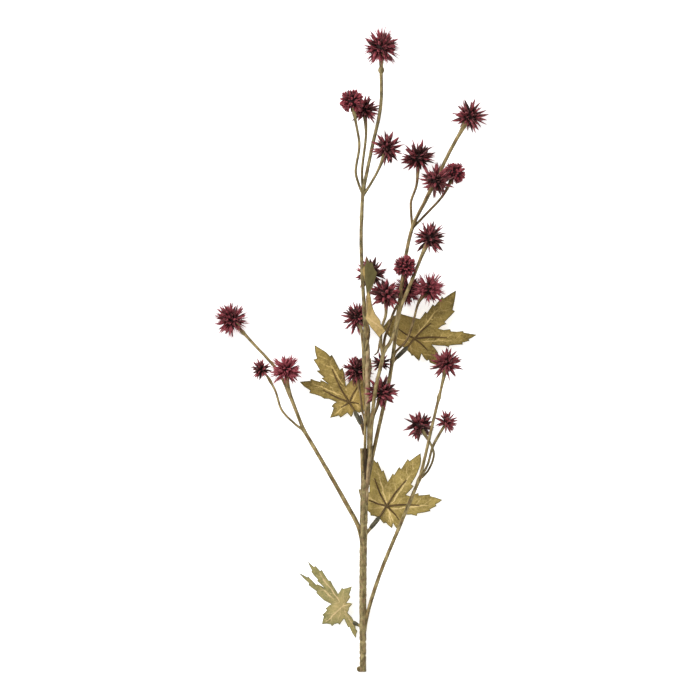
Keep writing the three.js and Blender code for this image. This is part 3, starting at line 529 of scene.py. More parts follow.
# The leaves. Printed cloth blades, pressed into pleats along their ribs and cut with teeth.
# Three lie underside up and show moulded dark ribs. Each stands on a wire stalk that slides
# into a dark sleeve on its branch. A leaf has its vein centre, its face, its lobes and its
# wire, and a lobe its tip, the notch after it, and its cut edge up to the tip and down from it.
LEAVES = {
    "leaf_left": ((-15.5, 302.5, 9), "under", [
        ((9.1, 352.7, 5), (-19, 321),
         [(3.5, 314), (8.5, 329.7), (10.2, 340.9)],
         [(2.4, 343.2), (-7.7, 333.1)]),
        ((-54.4, 366.9, 9), (-38.9, 323),
         [(-20.5, 334.2), (-22.8, 341.4), (-25.4, 338.1), (-30.1, 347.1), (-34.6, 355.9),
          (-36.2, 353.2), (-41.3, 358.8)],
         [(-53.6, 358.8), (-51.6, 351.2), (-55.9, 350.6), (-52, 344.8), (-48.3, 338.5), (-52.5, 338),
          (-46.9, 333.1), (-43.8, 330.4), (-46.7, 329.5)]),
        ((-71.2, 325.5, 6), (-29.7, 302.6),
         [(-43, 325.5), (-47.6, 327.5), (-47.8, 325.4), (-53.6, 326.9), (-58.8, 329.1), (-58.9, 326.6)],
         [(-66, 320.1), (-59, 315.6), (-60.4, 312.7), (-53.6, 311.1), (-46.9, 308.9), (-43.7, 306.4),
          (-38, 306.2)]),
        ((-37.1, 284.7, 5), (-17.5, 290.5),
         [(-32.4, 301.2), (-35.4, 297.9), (-32.9, 296.1), (-34.6, 291.1)],
         [(-31.8, 286), (-27, 287.4), (-25.2, 284.9), (-21.2, 287.7)]),
        ((-13.3, 285.4, 6), (-10, 294.4),
         [(-15.3, 288.1)],
         [(-11.1, 288.7)]),
        ((-3.5, 290.1, 8), (2.6, 303),
         [(-6.8, 291.6)],
         [(-1.2, 296.5), (0.6, 290), (2.8, 296.5)]),
    ], [(-15.5, 302.5, 8.4), (-8.8, 291.5, 15), (-1.5, 277, 27), (1.4, 267, 36.5)]),
    "leaf_right": ((57.7, 373.9, 20), "under", [
        ((128, 378.3, 8), (84.8, 385.1),
         [(84, 366), (92, 365.7), (96.3, 364.1), (97.3, 366.1), (104.7, 366.8), (112.4, 367.2),
          (111.7, 369.2), (115.5, 370.3), (119.7, 371.4), (118.7, 373), (123.3, 375.2)],
         [(120, 379.5), (113.1, 380.8), (112.9, 382.5), (105.5, 381.7), (98.8, 382.1), (98.2, 384.6),
          (90.4, 383.6)]),
        ((104.7, 428.1, 10), (64, 395.9),
         [(88.7, 388.1), (94, 390.3), (91.8, 392.4), (98.7, 399.4), (103.3, 404.4), (100.8, 406.4),
          (102.3, 412.6), (104, 421.6)],
         [(98.2, 424.3), (90.6, 418.9), (88.8, 421), (84.6, 415.5), (80.3, 410.5), (78.5, 412.6),
          (75.2, 407.5), (71.9, 402.6), (70.1, 404.3), (67.2, 399.8)]),
        ((22.5, 386.8, 14), (48.7, 361.5),
         [(57.6, 397.5), (50.4, 399.4), (42.7, 401.7), (35.4, 399.7), (28.7, 395.2)],
         [(26.4, 379.6), (30.9, 374.5), (36.4, 368.9), (40, 365.1), (43.8, 365.6)]),
        ((63.2, 348.5, 14), (65.6, 356.9),
         [(53.2, 357.4), (54.7, 354.4), (56, 355.8), (59.5, 352.1)],
         [(64.7, 353)]),
        ((84.1, 343.2, 12), (77.6, 366.7),
         [(68.9, 351.6), (71.7, 348.8), (74, 350.2), (74.9, 347.1), (79.6, 345.2)],
         [(85.7, 349.9), (84.3, 358.4), (81, 363.3)]),
    ], [(57.5, 374, 19.4), (49.5, 364, 25), (36.8, 351.5, 37.6), (33, 347.5, 41.5)]),
    "leaf_low_right": ((26.7, 185.9, 11), "bright", [
        ((89.5, 192.9, 7), (48.4, 198.6),
         [(50.5, 176.1), (54.3, 176.3), (60.4, 174.7), (61.3, 177.5), (68.8, 178.6), (76, 180.2),
          (75.3, 182.3), (79.2, 184.2), (82.8, 185.8), (81.4, 187.7), (85.8, 190)],
         [(82.3, 195.4), (75.7, 197), (75.3, 199.2), (69.6, 198.5), (62.9, 198), (62.4, 200.9),
          (57.8, 199), (52.3, 197.1)]),
        ((64.8, 245.5, 9), (27.8, 213.1),
         [(53.3, 203.6), (57.3, 208.4), (54.2, 210.2), (59.7, 219.6), (62.9, 227.1), (64.8, 232.4),
          (65.6, 239.2)],
         [(58.4, 241), (52.3, 236.4), (50.4, 238.9), (46.7, 233.5), (43, 227.6), (40.7, 229.9),
          (38, 225.5), (35.1, 220.9), (33.4, 222.8), (30.6, 217.3)]),
        ((12.3, 238.3, 8), (7.3, 201.4),
         [(26.2, 218.1), (23.3, 226.4), (21.3, 224.9), (19.2, 230), (16.6, 236.4), (15.3, 234.6)],
         [(10.2, 230.8), (8.1, 220.4), (7.4, 211)]),
        ((-5, 204.7, 4), (18.5, 172.5),
         [(1.2, 204.7)],
         [(-2.7, 194.2), (1.8, 183.6), (8.3, 178), (8.6, 175.1), (12.8, 174.8)]),
        ((32.5, 160.8, 5), (34, 166.7),
         [(21.4, 168.4), (23.4, 166.3), (25.2, 167.8), (28.8, 164)],
         [(33.4, 163.5)]),
        ((39.5, 158.4, 5), (44.5, 176.5),
         [(36.2, 162.8)],
         [(42.7, 166.2), (44.2, 171.8)]),
    ], [(26.5, 186, 10.4), (18.5, 173.5, 12), (8, 160.5, 16), (0.5, 151.5, 18.5)]),
    "leaf_low_left": ((-25, 72.5, 14), "top", [
        ((-11.5, 76.4, 15), (-18.4, 77.5),
         [(-16, 68.8), (-15.1, 72.1)],
         [(-14.7, 77.4)]),
        ((-12.2, 96.2, 20), (-27.8, 87.4),
         [(-16.4, 80), (-13.8, 84.1), (-15.2, 86.7), (-13.6, 91.2)],
         [(-17.8, 94.2), (-22.3, 93.2), (-23.4, 95), (-25.2, 91.2)]),
        ((-62.2, 124.8, 24), (-43.5, 94.4),
         [(-30.6, 92.2), (-33.8, 97.3), (-36.1, 102.4), (-38.6, 102.6), (-43, 109.3), (-46.1, 114.7),
          (-48, 113.3), (-50.3, 116), (-52.9, 118.9), (-54.9, 118), (-57.8, 120.5)],
         [(-59.5, 118.5), (-57, 113.7), (-58, 112.6), (-54.7, 108.1), (-50.7, 104), (-51.2, 101.9),
          (-47.4, 98.6)]),
        ((-72.1, 111.1, 10), (-35.2, 76),
         [(-46.6, 96.3), (-51, 98.2), (-52.3, 97.4), (-57, 102.5), (-60.9, 106.5), (-62.6, 106.2),
          (-67.4, 108.9)],
         [(-66.6, 104.9), (-60.5, 99.5), (-61, 97.2), (-57, 94), (-51.6, 90.2), (-52.3, 88.3),
          (-48.2, 84.4), (-43.5, 80), (-38.6, 77.7)]),
        ((-46, 53.1, 4), (-21.1, 59.4),
         [(-38.6, 73.7), (-42, 70.8), (-40.2, 69.3), (-42.6, 66.5), (-45.9, 63.7), (-43.8, 62.4),
          (-45.1, 57.8)],
         [(-41, 53.8), (-36.2, 53.2), (-34.6, 50.8), (-32.1, 53.2), (-28.2, 54.3), (-26, 52.6),
          (-23.4, 56.6)]),
        ((-7.8, 37, 3), (-17.1, 66.1),
         [(-18.8, 54.4), (-16.5, 49.6), (-15, 50.1), (-11.8, 43)],
         [(-7.4, 41.9), (-6, 45.6), (-8, 48), (-8.5, 53.1), (-12.2, 60.9)]),
    ], [(-25, 72.5, 13), (-12.5, 56, 4.8), (-5.5, 52.5, 5.2), (-0.5, 51, 6.5)]),
    "leaf_top": ((5.6, 396.9, 63), "turned", [
        ((25.5, 382.6, 70), (11.5, 407),
         [(8.7, 386.2), (12, 382.6), (15.1, 378.6), (18.7, 374.1), (20.5, 377.7), (23.2, 379.7)],
         [(22.7, 386.3), (19.9, 390.2), (19.7, 393.6), (17.9, 396.3), (14.2, 401)]),
        ((3.9, 466.4, 76), (4.4, 403.6),
         [(9.9, 413.2), (9, 419.9), (6.7, 426.8), (10.6, 430.5), (12.2, 435.5), (14.7, 442.8),
          (16, 447.6), (14, 450), (12.3, 452.7), (10.5, 459), (7.3, 458.5), (6, 462.6)],
         [(3.5, 460.8), (3, 457), (-0.1, 453.2), (-1.3, 450.4), (-0.6, 445.8), (1.1, 440.8),
          (2.8, 435.5), (3.4, 429.4), (4.3, 421.6), (4.7, 412.6)]),
        ((2.2, 396.5, 61), (6.7, 389.5),
         [],
         []),
    ], [(5.5, 397, 62.4), (5.5, 388, 60), (5.5, 372.5, 57), (3.5, 361, 52.5)]),
}
LEAF_THICKNESS = 0.6
LEAF_LOWEST = 0.8
PLEAT = 2.5
PLEAT_WIDTH = 12
PUCKER = 0.3                 # how far the cloth stands up between two side veins
RIB_MARGIN = 4               # how near to a rib the cloth begins to lie flat
VEIN_GAP = 12
VEIN_SLANT = 1.2
NOTCH_ROWS, EDGE_STEP, HALF_COLUMNS = 10, 1.2, 8
# The print on each leaf is not quite in register with the pleats: how far it is shifted.
PRINT_SHIFT = {
    "leaf_left": (4, 2.4), "leaf_right": (-5.5, -4.5), "leaf_low_right": (1.7, -3.9),
    "leaf_low_left": (2.8, 1.1), "leaf_top": (0, 0),
}
# Where the moulded ribs of the underside leaves end.
RIB_ENDS = {
    "leaf_left": [(-34.8, 339.6), (-45, 316.3), (-24.5, 296.7), (-6.3, 319.1), (-4.5, 300.8)],
    "leaf_right": [(76.4, 391.4), (94.4, 375), (72, 361.5), (39.1, 385.3)],
    "leaf_low_right": [(48.8, 215.5), (13, 217.2), (63.4, 186.9), (6.8, 192.5), (40.4, 170.9)],
}
RIB_RADII = (1.2, 0.6)
RIB_BOW = 0.03               # how far a rib bows sideways against its length
RIB_STAND = 0.3              # how far a rib's middle line stands over the cloth
WIRE_RADII, SLEEVE_RADII, STUB_RADII = (1.1, 1.5), (2.6, 2.5), (1.7, 2.0)
WIRE_DROP = 1.6              # how far under the cloth a wire starts where no ribs cover it
RIB_SEED, WIRE_SEED, SLEEVE_SEED, STUB_SEED = 40, 50, 51, 52


def edge_points(points, centre, tip):
    """Points of a lobe's edge in space: each lies on the slope of the lobe's rib, less a fold
    that is full at the pleat's width from the rib."""
    points = np.array(points, float).reshape(-1, 2)
    rib = (tip - centre)[:2]
    away = points - centre[:2]
    share = away @ rib / (rib @ rib)
    across = np.abs(away @ np.array([-rib[1], rib[0]])) / np.hypot(*rib)
    height = centre[2] + (tip[2] - centre[2]) * share - PLEAT * np.minimum(1, across / PLEAT_WIDTH)
    return np.column_stack([points, height])


def lobe_grid(centre, tip, before, after, rising, falling, shift):
    """One lobe as rows that cross it, from the leaf's middle to the lobe's tip. A row's ends
    run out along the notch lines and then along the two cut edges, and its middle runs along
    the rib. The cloth is puckered between side veins and lies flat at rib and edges. Gives the
    points, and how far across and along the shifted print of the rib each lies."""
    edges = [np.vstack([before, edge_points(rising, centre, tip), tip]),
             np.vstack([after, edge_points(falling, centre, tip)[::-1], tip])]
    reach = [travelled(edge) for edge in edges]
    even = np.linspace(0, 1, max(8, round(max(reach[0][-1], reach[1][-1]) / EDGE_STEP)))
    stations = np.unique(np.round(np.concatenate([even, *(far / far[-1] for far in reach)]), 4))
    right, left = (line_at(stations, far / far[-1], edge) for far, edge in zip(reach, edges))
    to_notch = np.linspace(0, 1, NOTCH_ROWS + 1)[:-1, None]
    right = np.vstack([centre + (before - centre) * to_notch, right])
    left = np.vstack([centre + (after - centre) * to_notch, left])
    line = tip - centre
    reached = np.clip(((before + after) / 2 - centre) @ line / (line @ line), 0.08, 0.6) * 0.8
    share = np.concatenate([reached * to_notch[:, 0], reached + (1 - reached) * stations])
    rib = centre + line * share[:, None]
    column = np.linspace(-1, 1, 2 * HALF_COLUMNS + 1)[None, :, None]
    rightward = (right - rib)[:, None] * np.maximum(0, -column)
    leftward = (left - rib)[:, None] * np.maximum(0, column)
    spots = rib[:, None] + rightward + leftward
    axis = line[:2] / np.hypot(*line[:2])
    aside = np.array([-axis[1], axis[0]])
    across = (spots[..., :2] - centre[:2]) @ aside
    along = (spots[..., :2] - centre[:2]) @ axis
    hill = np.sin(np.pi * np.abs(column[..., 0])) * np.minimum(1, np.abs(across) / RIB_MARGIN)
    spots[..., 2] += PUCKER * hill * np.cos(2 * np.pi * (along - VEIN_SLANT * np.abs(across)) / VEIN_GAP)
    return spots, np.stack([across - shift @ aside, along - shift @ axis], axis=2)


def edge_distance(spots, outline):
    """How far each point is from the leaf's cut edge, seen from above: the least distance to
    the straight pieces of its outline."""
    start, run = outline, np.roll(outline, -1, axis=0) - outline
    away = spots[:, None, :2] - start
    share = np.clip((away * run).sum(axis=2) / (run**2).sum(axis=1), 0, 1)
    return np.linalg.norm(away - share[..., None] * run, axis=2).min(axis=1)


def leaf_surface(centre, lobes, shift):
    """A whole blade: the lobes' grids side by side as triangles, welded along their notch
    lines, then doubled downwards by the cloth's thickness and walled round the cut edge. A
    notch lies at the mean height of its two lobes. Gives the surface, and how far each point
    is from the cut edge."""
    centre, shift = np.array(centre, float), np.array(shift)
    tips = [np.array(tip, float) for tip, _, _, _ in lobes]
    notches = []
    for (_, notch, _, _), tip, following in zip(lobes, tips, [*tips[1:], tips[0]]):
        notches.append((edge_points(notch, centre, tip)[0] + edge_points(notch, centre, following)[0]) / 2)
    spots, marks, faces, outline, base = [], [], [], [], 0
    for k, (tip, notch, rising, falling) in enumerate(lobes):
        grid, printed = lobe_grid(centre, tips[k], notches[k - 1], notches[k], rising, falling, shift)
        rows, columns = grid.shape[:2]
        row, column = np.meshgrid(np.arange(rows - 1), np.arange(columns - 1), indexing="ij")
        corner = (base + row * columns + column).ravel()
        faces.append(np.concatenate([
            np.stack([corner, corner + columns, corner + columns + 1], axis=1),
            np.stack([corner, corner + columns + 1, corner + 1], axis=1),
        ]))
        spots.append(grid.reshape(-1, 3))
        marks.append(printed.reshape(-1, 2))
        outline += [*rising, tip[:2], *falling, notch]
        base += rows * columns
    spots, marks, faces = (np.concatenate(part) for part in (spots, marks, faces))
    spots[:, 2] = np.maximum(spots[:, 2], LEAF_LOWEST)
    _, first, welded = np.unique(np.round(spots, 4), axis=0, return_index=True, return_inverse=True)
    welded = welded.ravel()
    corners = welded[faces]
    whole = (corners != np.roll(corners, -1, axis=1)).all(axis=1)
    corners, face_marks = corners[whole], marks[faces[whole]]
    top = spots[first]
    count = len(top)
    edges, edge_marks = (
        np.concatenate([rows[:, [0, 1]], rows[:, [1, 2]], rows[:, [2, 0]]])
        for rows in (corners, face_marks)
    )
    rim = ~np.isin(edges[:, 0] * count + edges[:, 1], edges[:, 1] * count + edges[:, 0])
    start, end = edges[rim, 0], edges[rim, 1]
    wall = np.stack([end, start, start + count, end + count], axis=1)
    wall_marks = edge_marks[rim][:, [1, 0, 0, 1]]
    both = np.vstack([top, top - [0, 0, LEAF_THICKNESS]])
    surface = both, [corners, corners[:, ::-1] + count, wall], [face_marks, face_marks[:, ::-1], wall_marks]
    return surface, np.tile(edge_distance(top, np.array(outline, float)), 2)


def rib_route(end, centre, lobes):
    """A moulded rib from the leaf's middle to its end, on the slope of the lobe whose
    direction is nearest, with a slight bow."""
    away = np.array(end) - centre[:2]
    turns = [np.array(tip[:2]) - centre[:2] for tip, _, _, _ in lobes]
    nearest = int(np.argmax([away @ turn / np.hypot(*turn) for turn in turns]))
    last = edge_points([end], centre, np.array(lobes[nearest][0], float))[0]
    bow = np.array([-away[1], away[0], 0]) * RIB_BOW
    return np.array([centre, (centre + last) / 2 + bow, last]) + [0, 0, RIB_STAND]


def leaf_material(name, dark, blade, light, vein, edge, glow, turned=None):
    """Printed cloth. The blade is mottled and glows round the middle. The print has a thin
    broken line beside each rib and sparse slanting side veins, over a faint fine net. The cut
    edge is a thin dark line. On the turned leaf the far part shows its dark other face, but
    for a strip along the left edge. The marks are millimetres across and along the print, and
    the rim value is the distance from the cut edge."""
    paint = Paint(name, 0.7)
    math, add, less, times, fade = paint.math, paint.add, paint.less, paint.times, paint.fade
    split = paint.node("SeparateXYZ", paint.marks)
    side, along = split.outputs["X"], split.outputs["Y"]
    drift = paint.noise(paint.place, 110, 2)
    blotch = paint.noise(paint.place, 60, 5, 0.6)
    mottle = paint.noise(paint.place, 420, 4, 0.7)
    rim = paint.rim()

    across = math("ABSOLUTE", add(side, times(less(drift, 0.5), 4.0)))
    rib = times(fade(across, 0.4, 1.1), fade(along, 34, 56))
    slant = less(along, times(across, VEIN_SLANT))
    phase = add(math("DIVIDE", slant, VEIN_GAP), times(math("GREATER_THAN", side, 0.0), 0.45))
    nearest = math("ABSOLUTE", less(math("FRACT", add(phase, times(drift, 1.3))), 0.5))
    side_vein = times(fade(nearest, 0.02, 0.075), times(fade(across, 5, 14), 0.65))
    net = paint.node("TexVoronoi", Vector=paint.place, Scale=300)
    net.feature = "DISTANCE_TO_EDGE"
    net_vein = times(fade(net.outputs["Distance"], 0.02, 0.12), 0.2)
    broken = less(1.0, times(fade(mottle, 0.34, 0.52), 0.6))
    veins = math("MAXIMUM", times(math("MAXIMUM", rib, side_vein), broken), net_vein)
    veins = times(veins, less(1.0, fade(rim, 1.0, 4.0)))

    tone = add(times(blotch, 0.6), times(mottle, 0.4))
    cloth = paint.ramp(tone, (0.4, dark), (0.5, blade), (0.61, light))
    far = math("SQRT", add(times(side, side), times(along, along)))
    cloth = paint.mix(cloth, times(fade(far, 2, 24), times(blotch, 0.8)), glow)
    cloth = paint.mix(cloth, times(veins, 0.85), vein)
    if turned:
        beyond = less(1.0, fade(add(along, times(side, 0.7)), 26, 30))
        cloth = paint.mix(cloth, times(times(beyond, fade(side, 1.8, 2.8)), 0.86), turned)
    ragged = add(rim, times(less(mottle, 0.5), 1.2))
    cloth = paint.mix(cloth, times(fade(ragged, 0.35, 1.1), 0.8), edge)
    weave = paint.noise(paint.place, 1400, 2)
    return paint.finished(cloth, add(times(veins, 0.6), times(weave, 0.35)), 0.7, 0.0005)


LEAF_CLOTH = {
    "under": leaf_material("leaf_gold", (0.165, 0.113, 0.026), (0.275, 0.195, 0.05), (0.385, 0.275, 0.075),
                           (0.8, 0.58, 0.22), (0.085, 0.078, 0.03), (0.5, 0.33, 0.09)),
    "bright": leaf_material("leaf_bright_gold", (0.23, 0.165, 0.04), (0.365, 0.27, 0.075),
                            (0.49, 0.37, 0.11), (0.9, 0.68, 0.3), (0.1, 0.09, 0.036), (0.6, 0.42, 0.13)),
    "top": leaf_material("leaf_green", (0.22, 0.2, 0.075), (0.33, 0.29, 0.11), (0.44, 0.36, 0.14),
                         (0.78, 0.58, 0.3), (0.15, 0.14, 0.065), (0.5, 0.36, 0.15)),
    "turned": leaf_material("leaf_two_faced", (0.3, 0.2, 0.065), (0.42, 0.29, 0.1), (0.52, 0.38, 0.15),
                            (0.6, 0.42, 0.2), (0.14, 0.11, 0.05), (0.5, 0.36, 0.15), (0.075, 0.07, 0.022)),
}
RIB_BROWN = stem_material("rib_brown", (0.2, 0.128, 0.04), (0.125, 0.077, 0.023), (0.065, 0.038, 0.012),
                          (0.11, 0.055, 0.018))
SLEEVE_GREEN = stem_material("sleeve_green", (0.15, 0.135, 0.08), (0.083, 0.075, 0.044),
                             (0.034, 0.03, 0.017), (0.05, 0.04, 0.026))

for name, (centre, face, lobes, wire) in LEAVES.items():
    surface, rims = leaf_surface(centre, lobes, PRINT_SHIFT[name])
    piece = dressed(name + "_blade", surface, LEAF_CLOTH[face], "leaf", name)
    piece.data.attributes.new("rim", "FLOAT", "POINT").data.foreach_set("value", rims)
    middle, rib_radius = np.array(centre, float), branch_radius(RIB_RADII, [], "plain", RIB_SEED)
    ribs = [swept(rib_route(end, middle, lobes), rib_radius, sides=8) for end in RIB_ENDS.get(name, [])]
    start, bend, low, end = (np.array(point, float) for point in wire)
    start = start - [0, 0, 0 if name in RIB_ENDS else WIRE_DROP]
    wire_radius = branch_radius(WIRE_RADII, [], "plain", WIRE_SEED)
    ribs.append(swept([start, bend, low, end], wire_radius, sides=10))
    dressed(name + "_ribs", joined(ribs), RIB_BROWN, "leaf", name)
    sleeve_radius = branch_radius(SLEEVE_RADII, [], "tape", SLEEVE_SEED)
    sleeve = swept([bend, (bend + low) / 2, low], sleeve_radius, sides=14)
    dressed(name + "_sleeve", sleeve, TWIG_BROWN if face == "turned" else SLEEVE_GREEN, "twig", name)
    stub_radius = branch_radius(STUB_RADII, [], "plain", STUB_SEED)
    stub = swept([(bend + low) / 2, low, end], stub_radius, sides=12)
    dressed(name + "_stub", stub, TWIG_BROWN if face == "under" else TWIG_KHAKI, "twig", name)


# The burr heads. Each is a moulded ball of stiff pointed scales, dark at the root and
# burgundy to pink towards the tip, on a pedicel's end. A head has its centre, its reach, its
# kind and its shade, which darkens its scales and makes more of them brown.
HEADS = {
    "a": ((20.5, 699.5, 37), 19.5, "tufted", -0.1), "b": ((-12.5, 639, 62), 13, "button", -0.05),
    "c": ((2, 629.5, 36), 17, "sharp", -0.1), "d": ((27, 586.5, 58), 18, "sharp", 0.05),
    "e": ((119.5, 622.5, 17), 19, "sharp", 0.0), "f": ((62, 576, 30), 19, "sharp", 0.15),
    "g": ((82, 550.5, 54), 18.5, "sharp", -0.05), "h": ((102.5, 559, 33), 12, "button", -0.1),
    "i": ((74.5, 486, 42), 18.5, "sharp", 0.1), "j": ((47, 454, 60), 12.5, "button", -0.05),
    "k": ((8.5, 446.5, 30), 17, "broad", 0.2), "l": ((26, 423, 54.5), 18, "broad", 0.05),
    "m": ((51, 428.5, 22), 17, "tufted", 0.05), "n": ((74, 429.5, 50), 17.5, "tufted", -0.25),
    "o": ((-6.5, 397, 32), 16.5, "sharp", 0.0), "p": ((-6.5, 338.5, 26), 17, "tufted", 0.12),
    "q": ((20.5, 313.5, 48), 17.5, "broad", 0.12), "r": ((21, 346.5, 50), 10, "star", 0.25),
    "s": ((93.5, 345.5, 42), 17.5, "sharp", -0.2), "t": ((63.5, 276, 26), 16, "broad", 0.1),
    "u": ((93.5, 280.5, 40), 11.5, "star", -0.35), "v": ((-147.5, 395, 16.5), 18.5, "tufted", -0.1),
    "w": ((-114, 339, 32), 11, "star", -0.05), "x": ((-86, 338, 45), 17.5, "tufted", -0.4),
}
# A scale's rings: how far along it each lies, and its width there against the widest.
LANCE = ((0, 0.5), (0.25, 0.82), (0.48, 1), (0.68, 0.74), (0.85, 0.38), (0.95, 0.14))
PETAL = ((0, 0.5), (0.3, 0.72), (0.6, 0.95), (0.78, 1), (0.92, 0.55))
# For each kind of head: its core against the reach, then its layers of scales. A layer has its
# shape, how many spikes of the node it follows and its scales for each, their widest half width
# and the shortest and longest length against the reach, their lean in radians, their start, and
# how many more of them are brown.
KINDS = {
    "sharp": (0.38, (LANCE, 56, 1, 0.1, 0.96, 1.24, 0.05, 0.25, 0),
              (LANCE, 80, 1, 0.085, 0.55, 0.82, 0.3, 0.25, 0.1)),
    "broad": (0.38, (LANCE, 42, 1, 0.15, 0.98, 1.27, 0.05, 0.25, 0),
              (LANCE, 50, 1, 0.12, 0.55, 0.8, 0.3, 0.25, 0.1)),
    "tufted": (0.38, (PETAL, 56, 1, 0.09, 0.8, 0.92, 0.03, 0.28, 0),
               (LANCE, 56, 4, 0.04, 0.95, 1.26, 0.085, 0.35, 0),
               (LANCE, 60, 1, 0.08, 0.55, 0.85, 0.3, 0.25, 0.4)),
    "button": (0.58, (PETAL, 80, 2, 0.095, 0.96, 1.14, 0.15, 0.5, 0),
               (LANCE, 80, 1, 0.07, 1.0, 1.24, 0.2, 0.55, 0)),
    "star": (0.26, (LANCE, 36, 1, 0.14, 1.12, 1.38, 0.03, 0.15, 0),
             (LANCE, 12, 1, 0.1, 0.5, 0.7, 0.3, 0.2, 0.2)),
}
# How much wider, longer and higher some heads are than the reach of their kind.
STRETCH = {"burr_a": (0.97, 1.17, 1), "burr_o": (1.06, 1.1, 1)}
TONE = 0.4                   # how much a head's shade dims or brightens all its scales
VARIETY = 0.12               # how much each scale differs in this from its neighbours
# How far the painted highlight of the edges runs into a scale's tip, on these kinds and on the others.
TIP_HIGHLIGHT, PLAIN_TIP_HIGHLIGHT = {"tufted": 0.7, "button": 0.7}, 0.15
TIP_REACH = 0.8              # a node's points this far out, against the reach, are spike tips
WIDTH_RANGE = (0.85, 1.15)
BEND = 0.05
HEAD_LOWEST = 0.3            # how near the surface a scale's tip may come
CORE_RINGS, CORE_SIDES = 8, 14
HEAD_SEED = 100
SCALE_SIDES = 4
KEEL = 0.6


def spike_tips(node, centre, reach):
    """The tips of a head's spikes: the points of its node furthest out, each once."""
    spots = np.unique(np.round((node_points(node) - CUT_END) * 1000 - centre, 1), axis=0)
    return spots[np.linalg.norm(spots, axis=1) > TIP_REACH * reach]


def spread(aims, count):
    """As many of the aims as are asked for, each time the one furthest from those taken."""
    chosen = [0]
    nearest = np.linalg.norm(aims - aims[0], axis=1)
    while len(chosen) < min(count, len(aims)):
        chosen.append(int(nearest.argmax()))
        nearest = np.minimum(nearest, np.linalg.norm(aims - aims[chosen[-1]], axis=1))
    return aims[chosen]


def scales(shape, tips, root, width, shade, brown, draw):
    """Pointed scales from near the middle to their tips. Each is rings of a flat diamond,
    wider and narrower by the shape, drawn along a slightly bent line to a point."""
    count = len(tips)
    rungs, widths = np.array(shape).T
    length = np.linalg.norm(tips, axis=1, keepdims=True)
    out = tips / length
    side = np.cross(out, draw.normal(size=(count, 3)))
    side /= np.linalg.norm(side, axis=1, keepdims=True)
    over = np.cross(out, side)
    share = rungs[None, :, None]
    start = out * root
    bend = over * draw.normal(0, BEND, (count, 1)) * length
    line = start[:, None] + (tips - start)[:, None] * share + bend[:, None] * np.sin(np.pi * share)
    angle = np.arange(SCALE_SIDES) * 2 * np.pi / SCALE_SIDES
    flat = np.cos(angle)[:, None] * side[:, None, None]
    flat = flat + KEEL * np.sin(angle)[:, None] * over[:, None, None]
    flat = flat * (widths * width)[:, None, None] * draw.uniform(*WIDTH_RANGE, (count, 1, 1, 1))
    per = len(rungs) * SCALE_SIDES
    rings = (line[:, :, None] + flat).reshape(count, per, 3)
    spots = np.concatenate([rings, tips[:, None], start[:, None]], axis=1)
    quads = wall_quads(len(rungs), SCALE_SIDES)[:, [0, 3, 2, 1]]
    tip_fan = fan(per - SCALE_SIDES, SCALE_SIDES, per)
    ends = np.concatenate([tip_fan, fan(0, SCALE_SIDES, per + 1)[:, [1, 0, 2]]])
    base = (np.arange(count) * (per + 2))[:, None, None]
    reached = np.repeat((root + (length - root) * rungs) / length.max(), SCALE_SIDES, axis=1)
    heights = np.concatenate([reached, length / length.max(), 0 * length], axis=1)
    heights = heights - TONE * shade - draw.uniform(-VARIETY, VARIETY, (count, 1))
    tone = draw.uniform(0, 1, count) + shade + brown

    def marks(faces):
        along = heights[:, faces]
        tones = np.broadcast_to(tone[:, None, None], along.shape)
        return np.stack([tones, along], axis=3).reshape(-1, faces.shape[1], 2)

    faces = [(quads[None] + base).reshape(-1, 4), (ends[None] + base).reshape(-1, 3)]
    return spots.reshape(-1, 3), faces, [marks(quads), marks(ends)]


def core_ball(radius):
    """The ball under the scales: rings of latitude with a point at each pole."""
    tilt = np.linspace(0, np.pi, CORE_RINGS + 2)[1:-1, None]
    turn = np.linspace(0, 2 * np.pi, CORE_SIDES, endpoint=False)
    wall = [np.sin(tilt) * np.cos(turn), np.sin(tilt) * np.sin(turn), np.cos(tilt) + 0 * turn]
    spots = np.vstack([np.stack(wall, axis=2).reshape(-1, 3), [0, 0, 1], [0, 0, -1]]) * radius
    quads, north = wall_quads(CORE_RINGS, CORE_SIDES), CORE_RINGS * CORE_SIDES
    south_fan = fan(north - CORE_SIDES, CORE_SIDES, north + 1)
    poles = np.concatenate([fan(0, CORE_SIDES, north), south_fan[:, ::-1]])
    return spots, [quads, poles], [np.zeros((len(quads), 4, 2)), np.zeros((len(poles), 3, 2))]


def burr_surface(node, centre, reach, kind, shade, seed):
    """One head: a core, and layers of scales round the spikes of its node. None reaches under
    the surface that the spray lies on. Gives the surface, and how much painted highlight each
    point takes: one on a scale's side edges, some at its tip and none elsewhere."""
    core, *layers = KINDS[kind]
    draw = np.random.default_rng(seed)
    tips = spike_tips(node, centre, reach)
    aims = tips / np.linalg.norm(tips, axis=1, keepdims=True)
    parts = [core_ball(core * reach)]
    rims = [np.zeros(len(parts[0][0]))]
    for shape, number, each, width, short, long, lean, root, brown in layers:
        aim = np.tile(spread(aims, number), (each, 1))
        aim = aim + draw.normal(0, lean, aim.shape)
        aim /= np.linalg.norm(aim, axis=1, keepdims=True)
        ends = aim * reach * draw.uniform(short, long, (len(aim), 1)) * STRETCH.get(node, 1)
        ends[:, 2] = np.maximum(ends[:, 2], HEAD_LOWEST - centre[2])
        parts.append(scales(shape, ends, root * reach, width * reach, shade, brown, draw))
        # Painted highlight: full on a scale's side edges, partly at its tip, none on its keel.
        highlight_rim = [1, 0] * (len(shape) * SCALE_SIDES // 2) + [TIP_HIGHLIGHT.get(kind, PLAIN_TIP_HIGHLIGHT), 0]
        rims.append(np.tile(highlight_rim, len(aim)))
    spots, faces, marks = joined(parts)
    return (spots + centre, faces, marks), np.concatenate(rims)


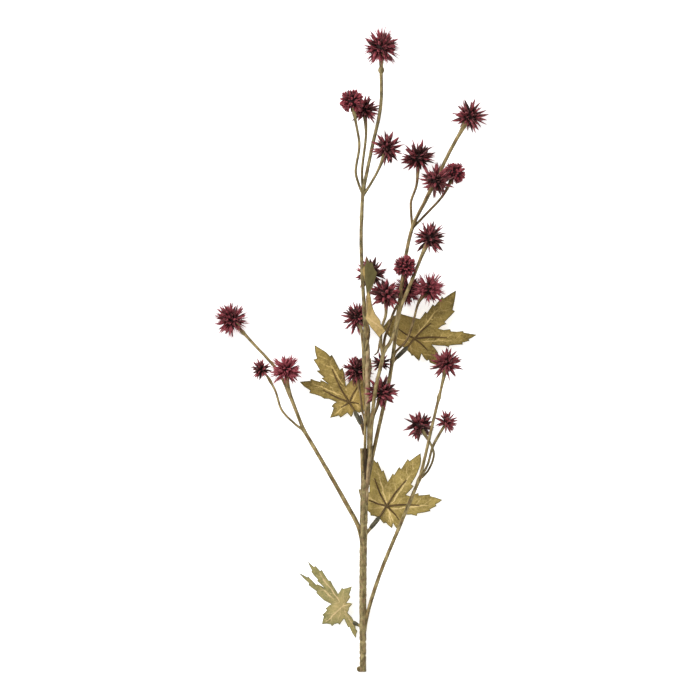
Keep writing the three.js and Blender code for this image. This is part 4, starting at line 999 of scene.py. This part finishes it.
def burr_material(name, dark, wine, pink, tip, brown, edge):
    """Moulded scales: the root dark, then wine red and the blade pinker, with a tip of its own
    colour and some scales brown. The edges carry a painted highlight in a pale colour. The marks
    are a scale's own tone and how far out from the head's middle a point is. The rim value is one
    on a scale's edges, where the painted highlight is strongest."""
    paint = Paint(name, 0.7)
    split = paint.node("SeparateXYZ", paint.marks)
    tone, along = split.outputs["X"], split.outputs["Y"]
    grain = paint.noise(paint.place, 420, 3)
    level = paint.less(paint.add(along, grain), 0.5)
    red = paint.ramp(level, (0.28, dark), (0.48, wine), (0.72, pink), (1.0, tip))
    dull = paint.ramp(level, (0.3, dark), (0.9, brown))
    body = paint.mix(red, paint.ramp(tone, (0.66, BLACK), (0.74, (1, 1, 1))), dull)
    # Painted highlight: a pale colour laid along each scale's edges, dark towards the root.
    pale = paint.ramp(level, (0.35, dark), (0.75, edge))
    edge_highlight = paint.spanned(paint.rim(), 0.45, 1.0, 0.0, 0.8)
    return paint.finished(paint.mix(body, edge_highlight, pale), grain, 0.3, 0.0003)


# The last colour of each paint is its painted highlight along the scales' edges.
BURR_WINE = burr_material("burr_wine", (0.019, 0.005, 0.004), (0.125, 0.016, 0.02), (0.3, 0.055, 0.066),
                          (0.075, 0.02, 0.02), (0.085, 0.034, 0.027), (0.45, 0.14, 0.16))
BURR_ROSE = burr_material("burr_rose", (0.016, 0.004, 0.003), (0.13, 0.018, 0.024), (0.27, 0.046, 0.058),
                          (0.36, 0.075, 0.095), (0.06, 0.022, 0.016), (0.46, 0.13, 0.155))
BURR_CRIMSON = burr_material("burr_crimson", (0.02, 0.002, 0.003), (0.13, 0.009, 0.015),
                             (0.25, 0.025, 0.038), (0.34, 0.055, 0.07),
                             (0.07, 0.012, 0.012), (0.45, 0.15, 0.17))
for order, (letter, (centre, reach, kind, shade)) in enumerate(HEADS.items()):
    middle, seed = np.array(centre, float), HEAD_SEED + order
    surface, rims = burr_surface("burr_" + letter, middle, reach, kind, shade, seed)
    paint = {"button": BURR_CRIMSON, "tufted": BURR_ROSE}.get(kind, BURR_WINE)
    piece = dressed("head_" + letter, surface, paint, "burr", "burr_" + letter)
    piece.data.attributes.new("rim", "FLOAT", "POINT").data.foreach_set("value", rims)
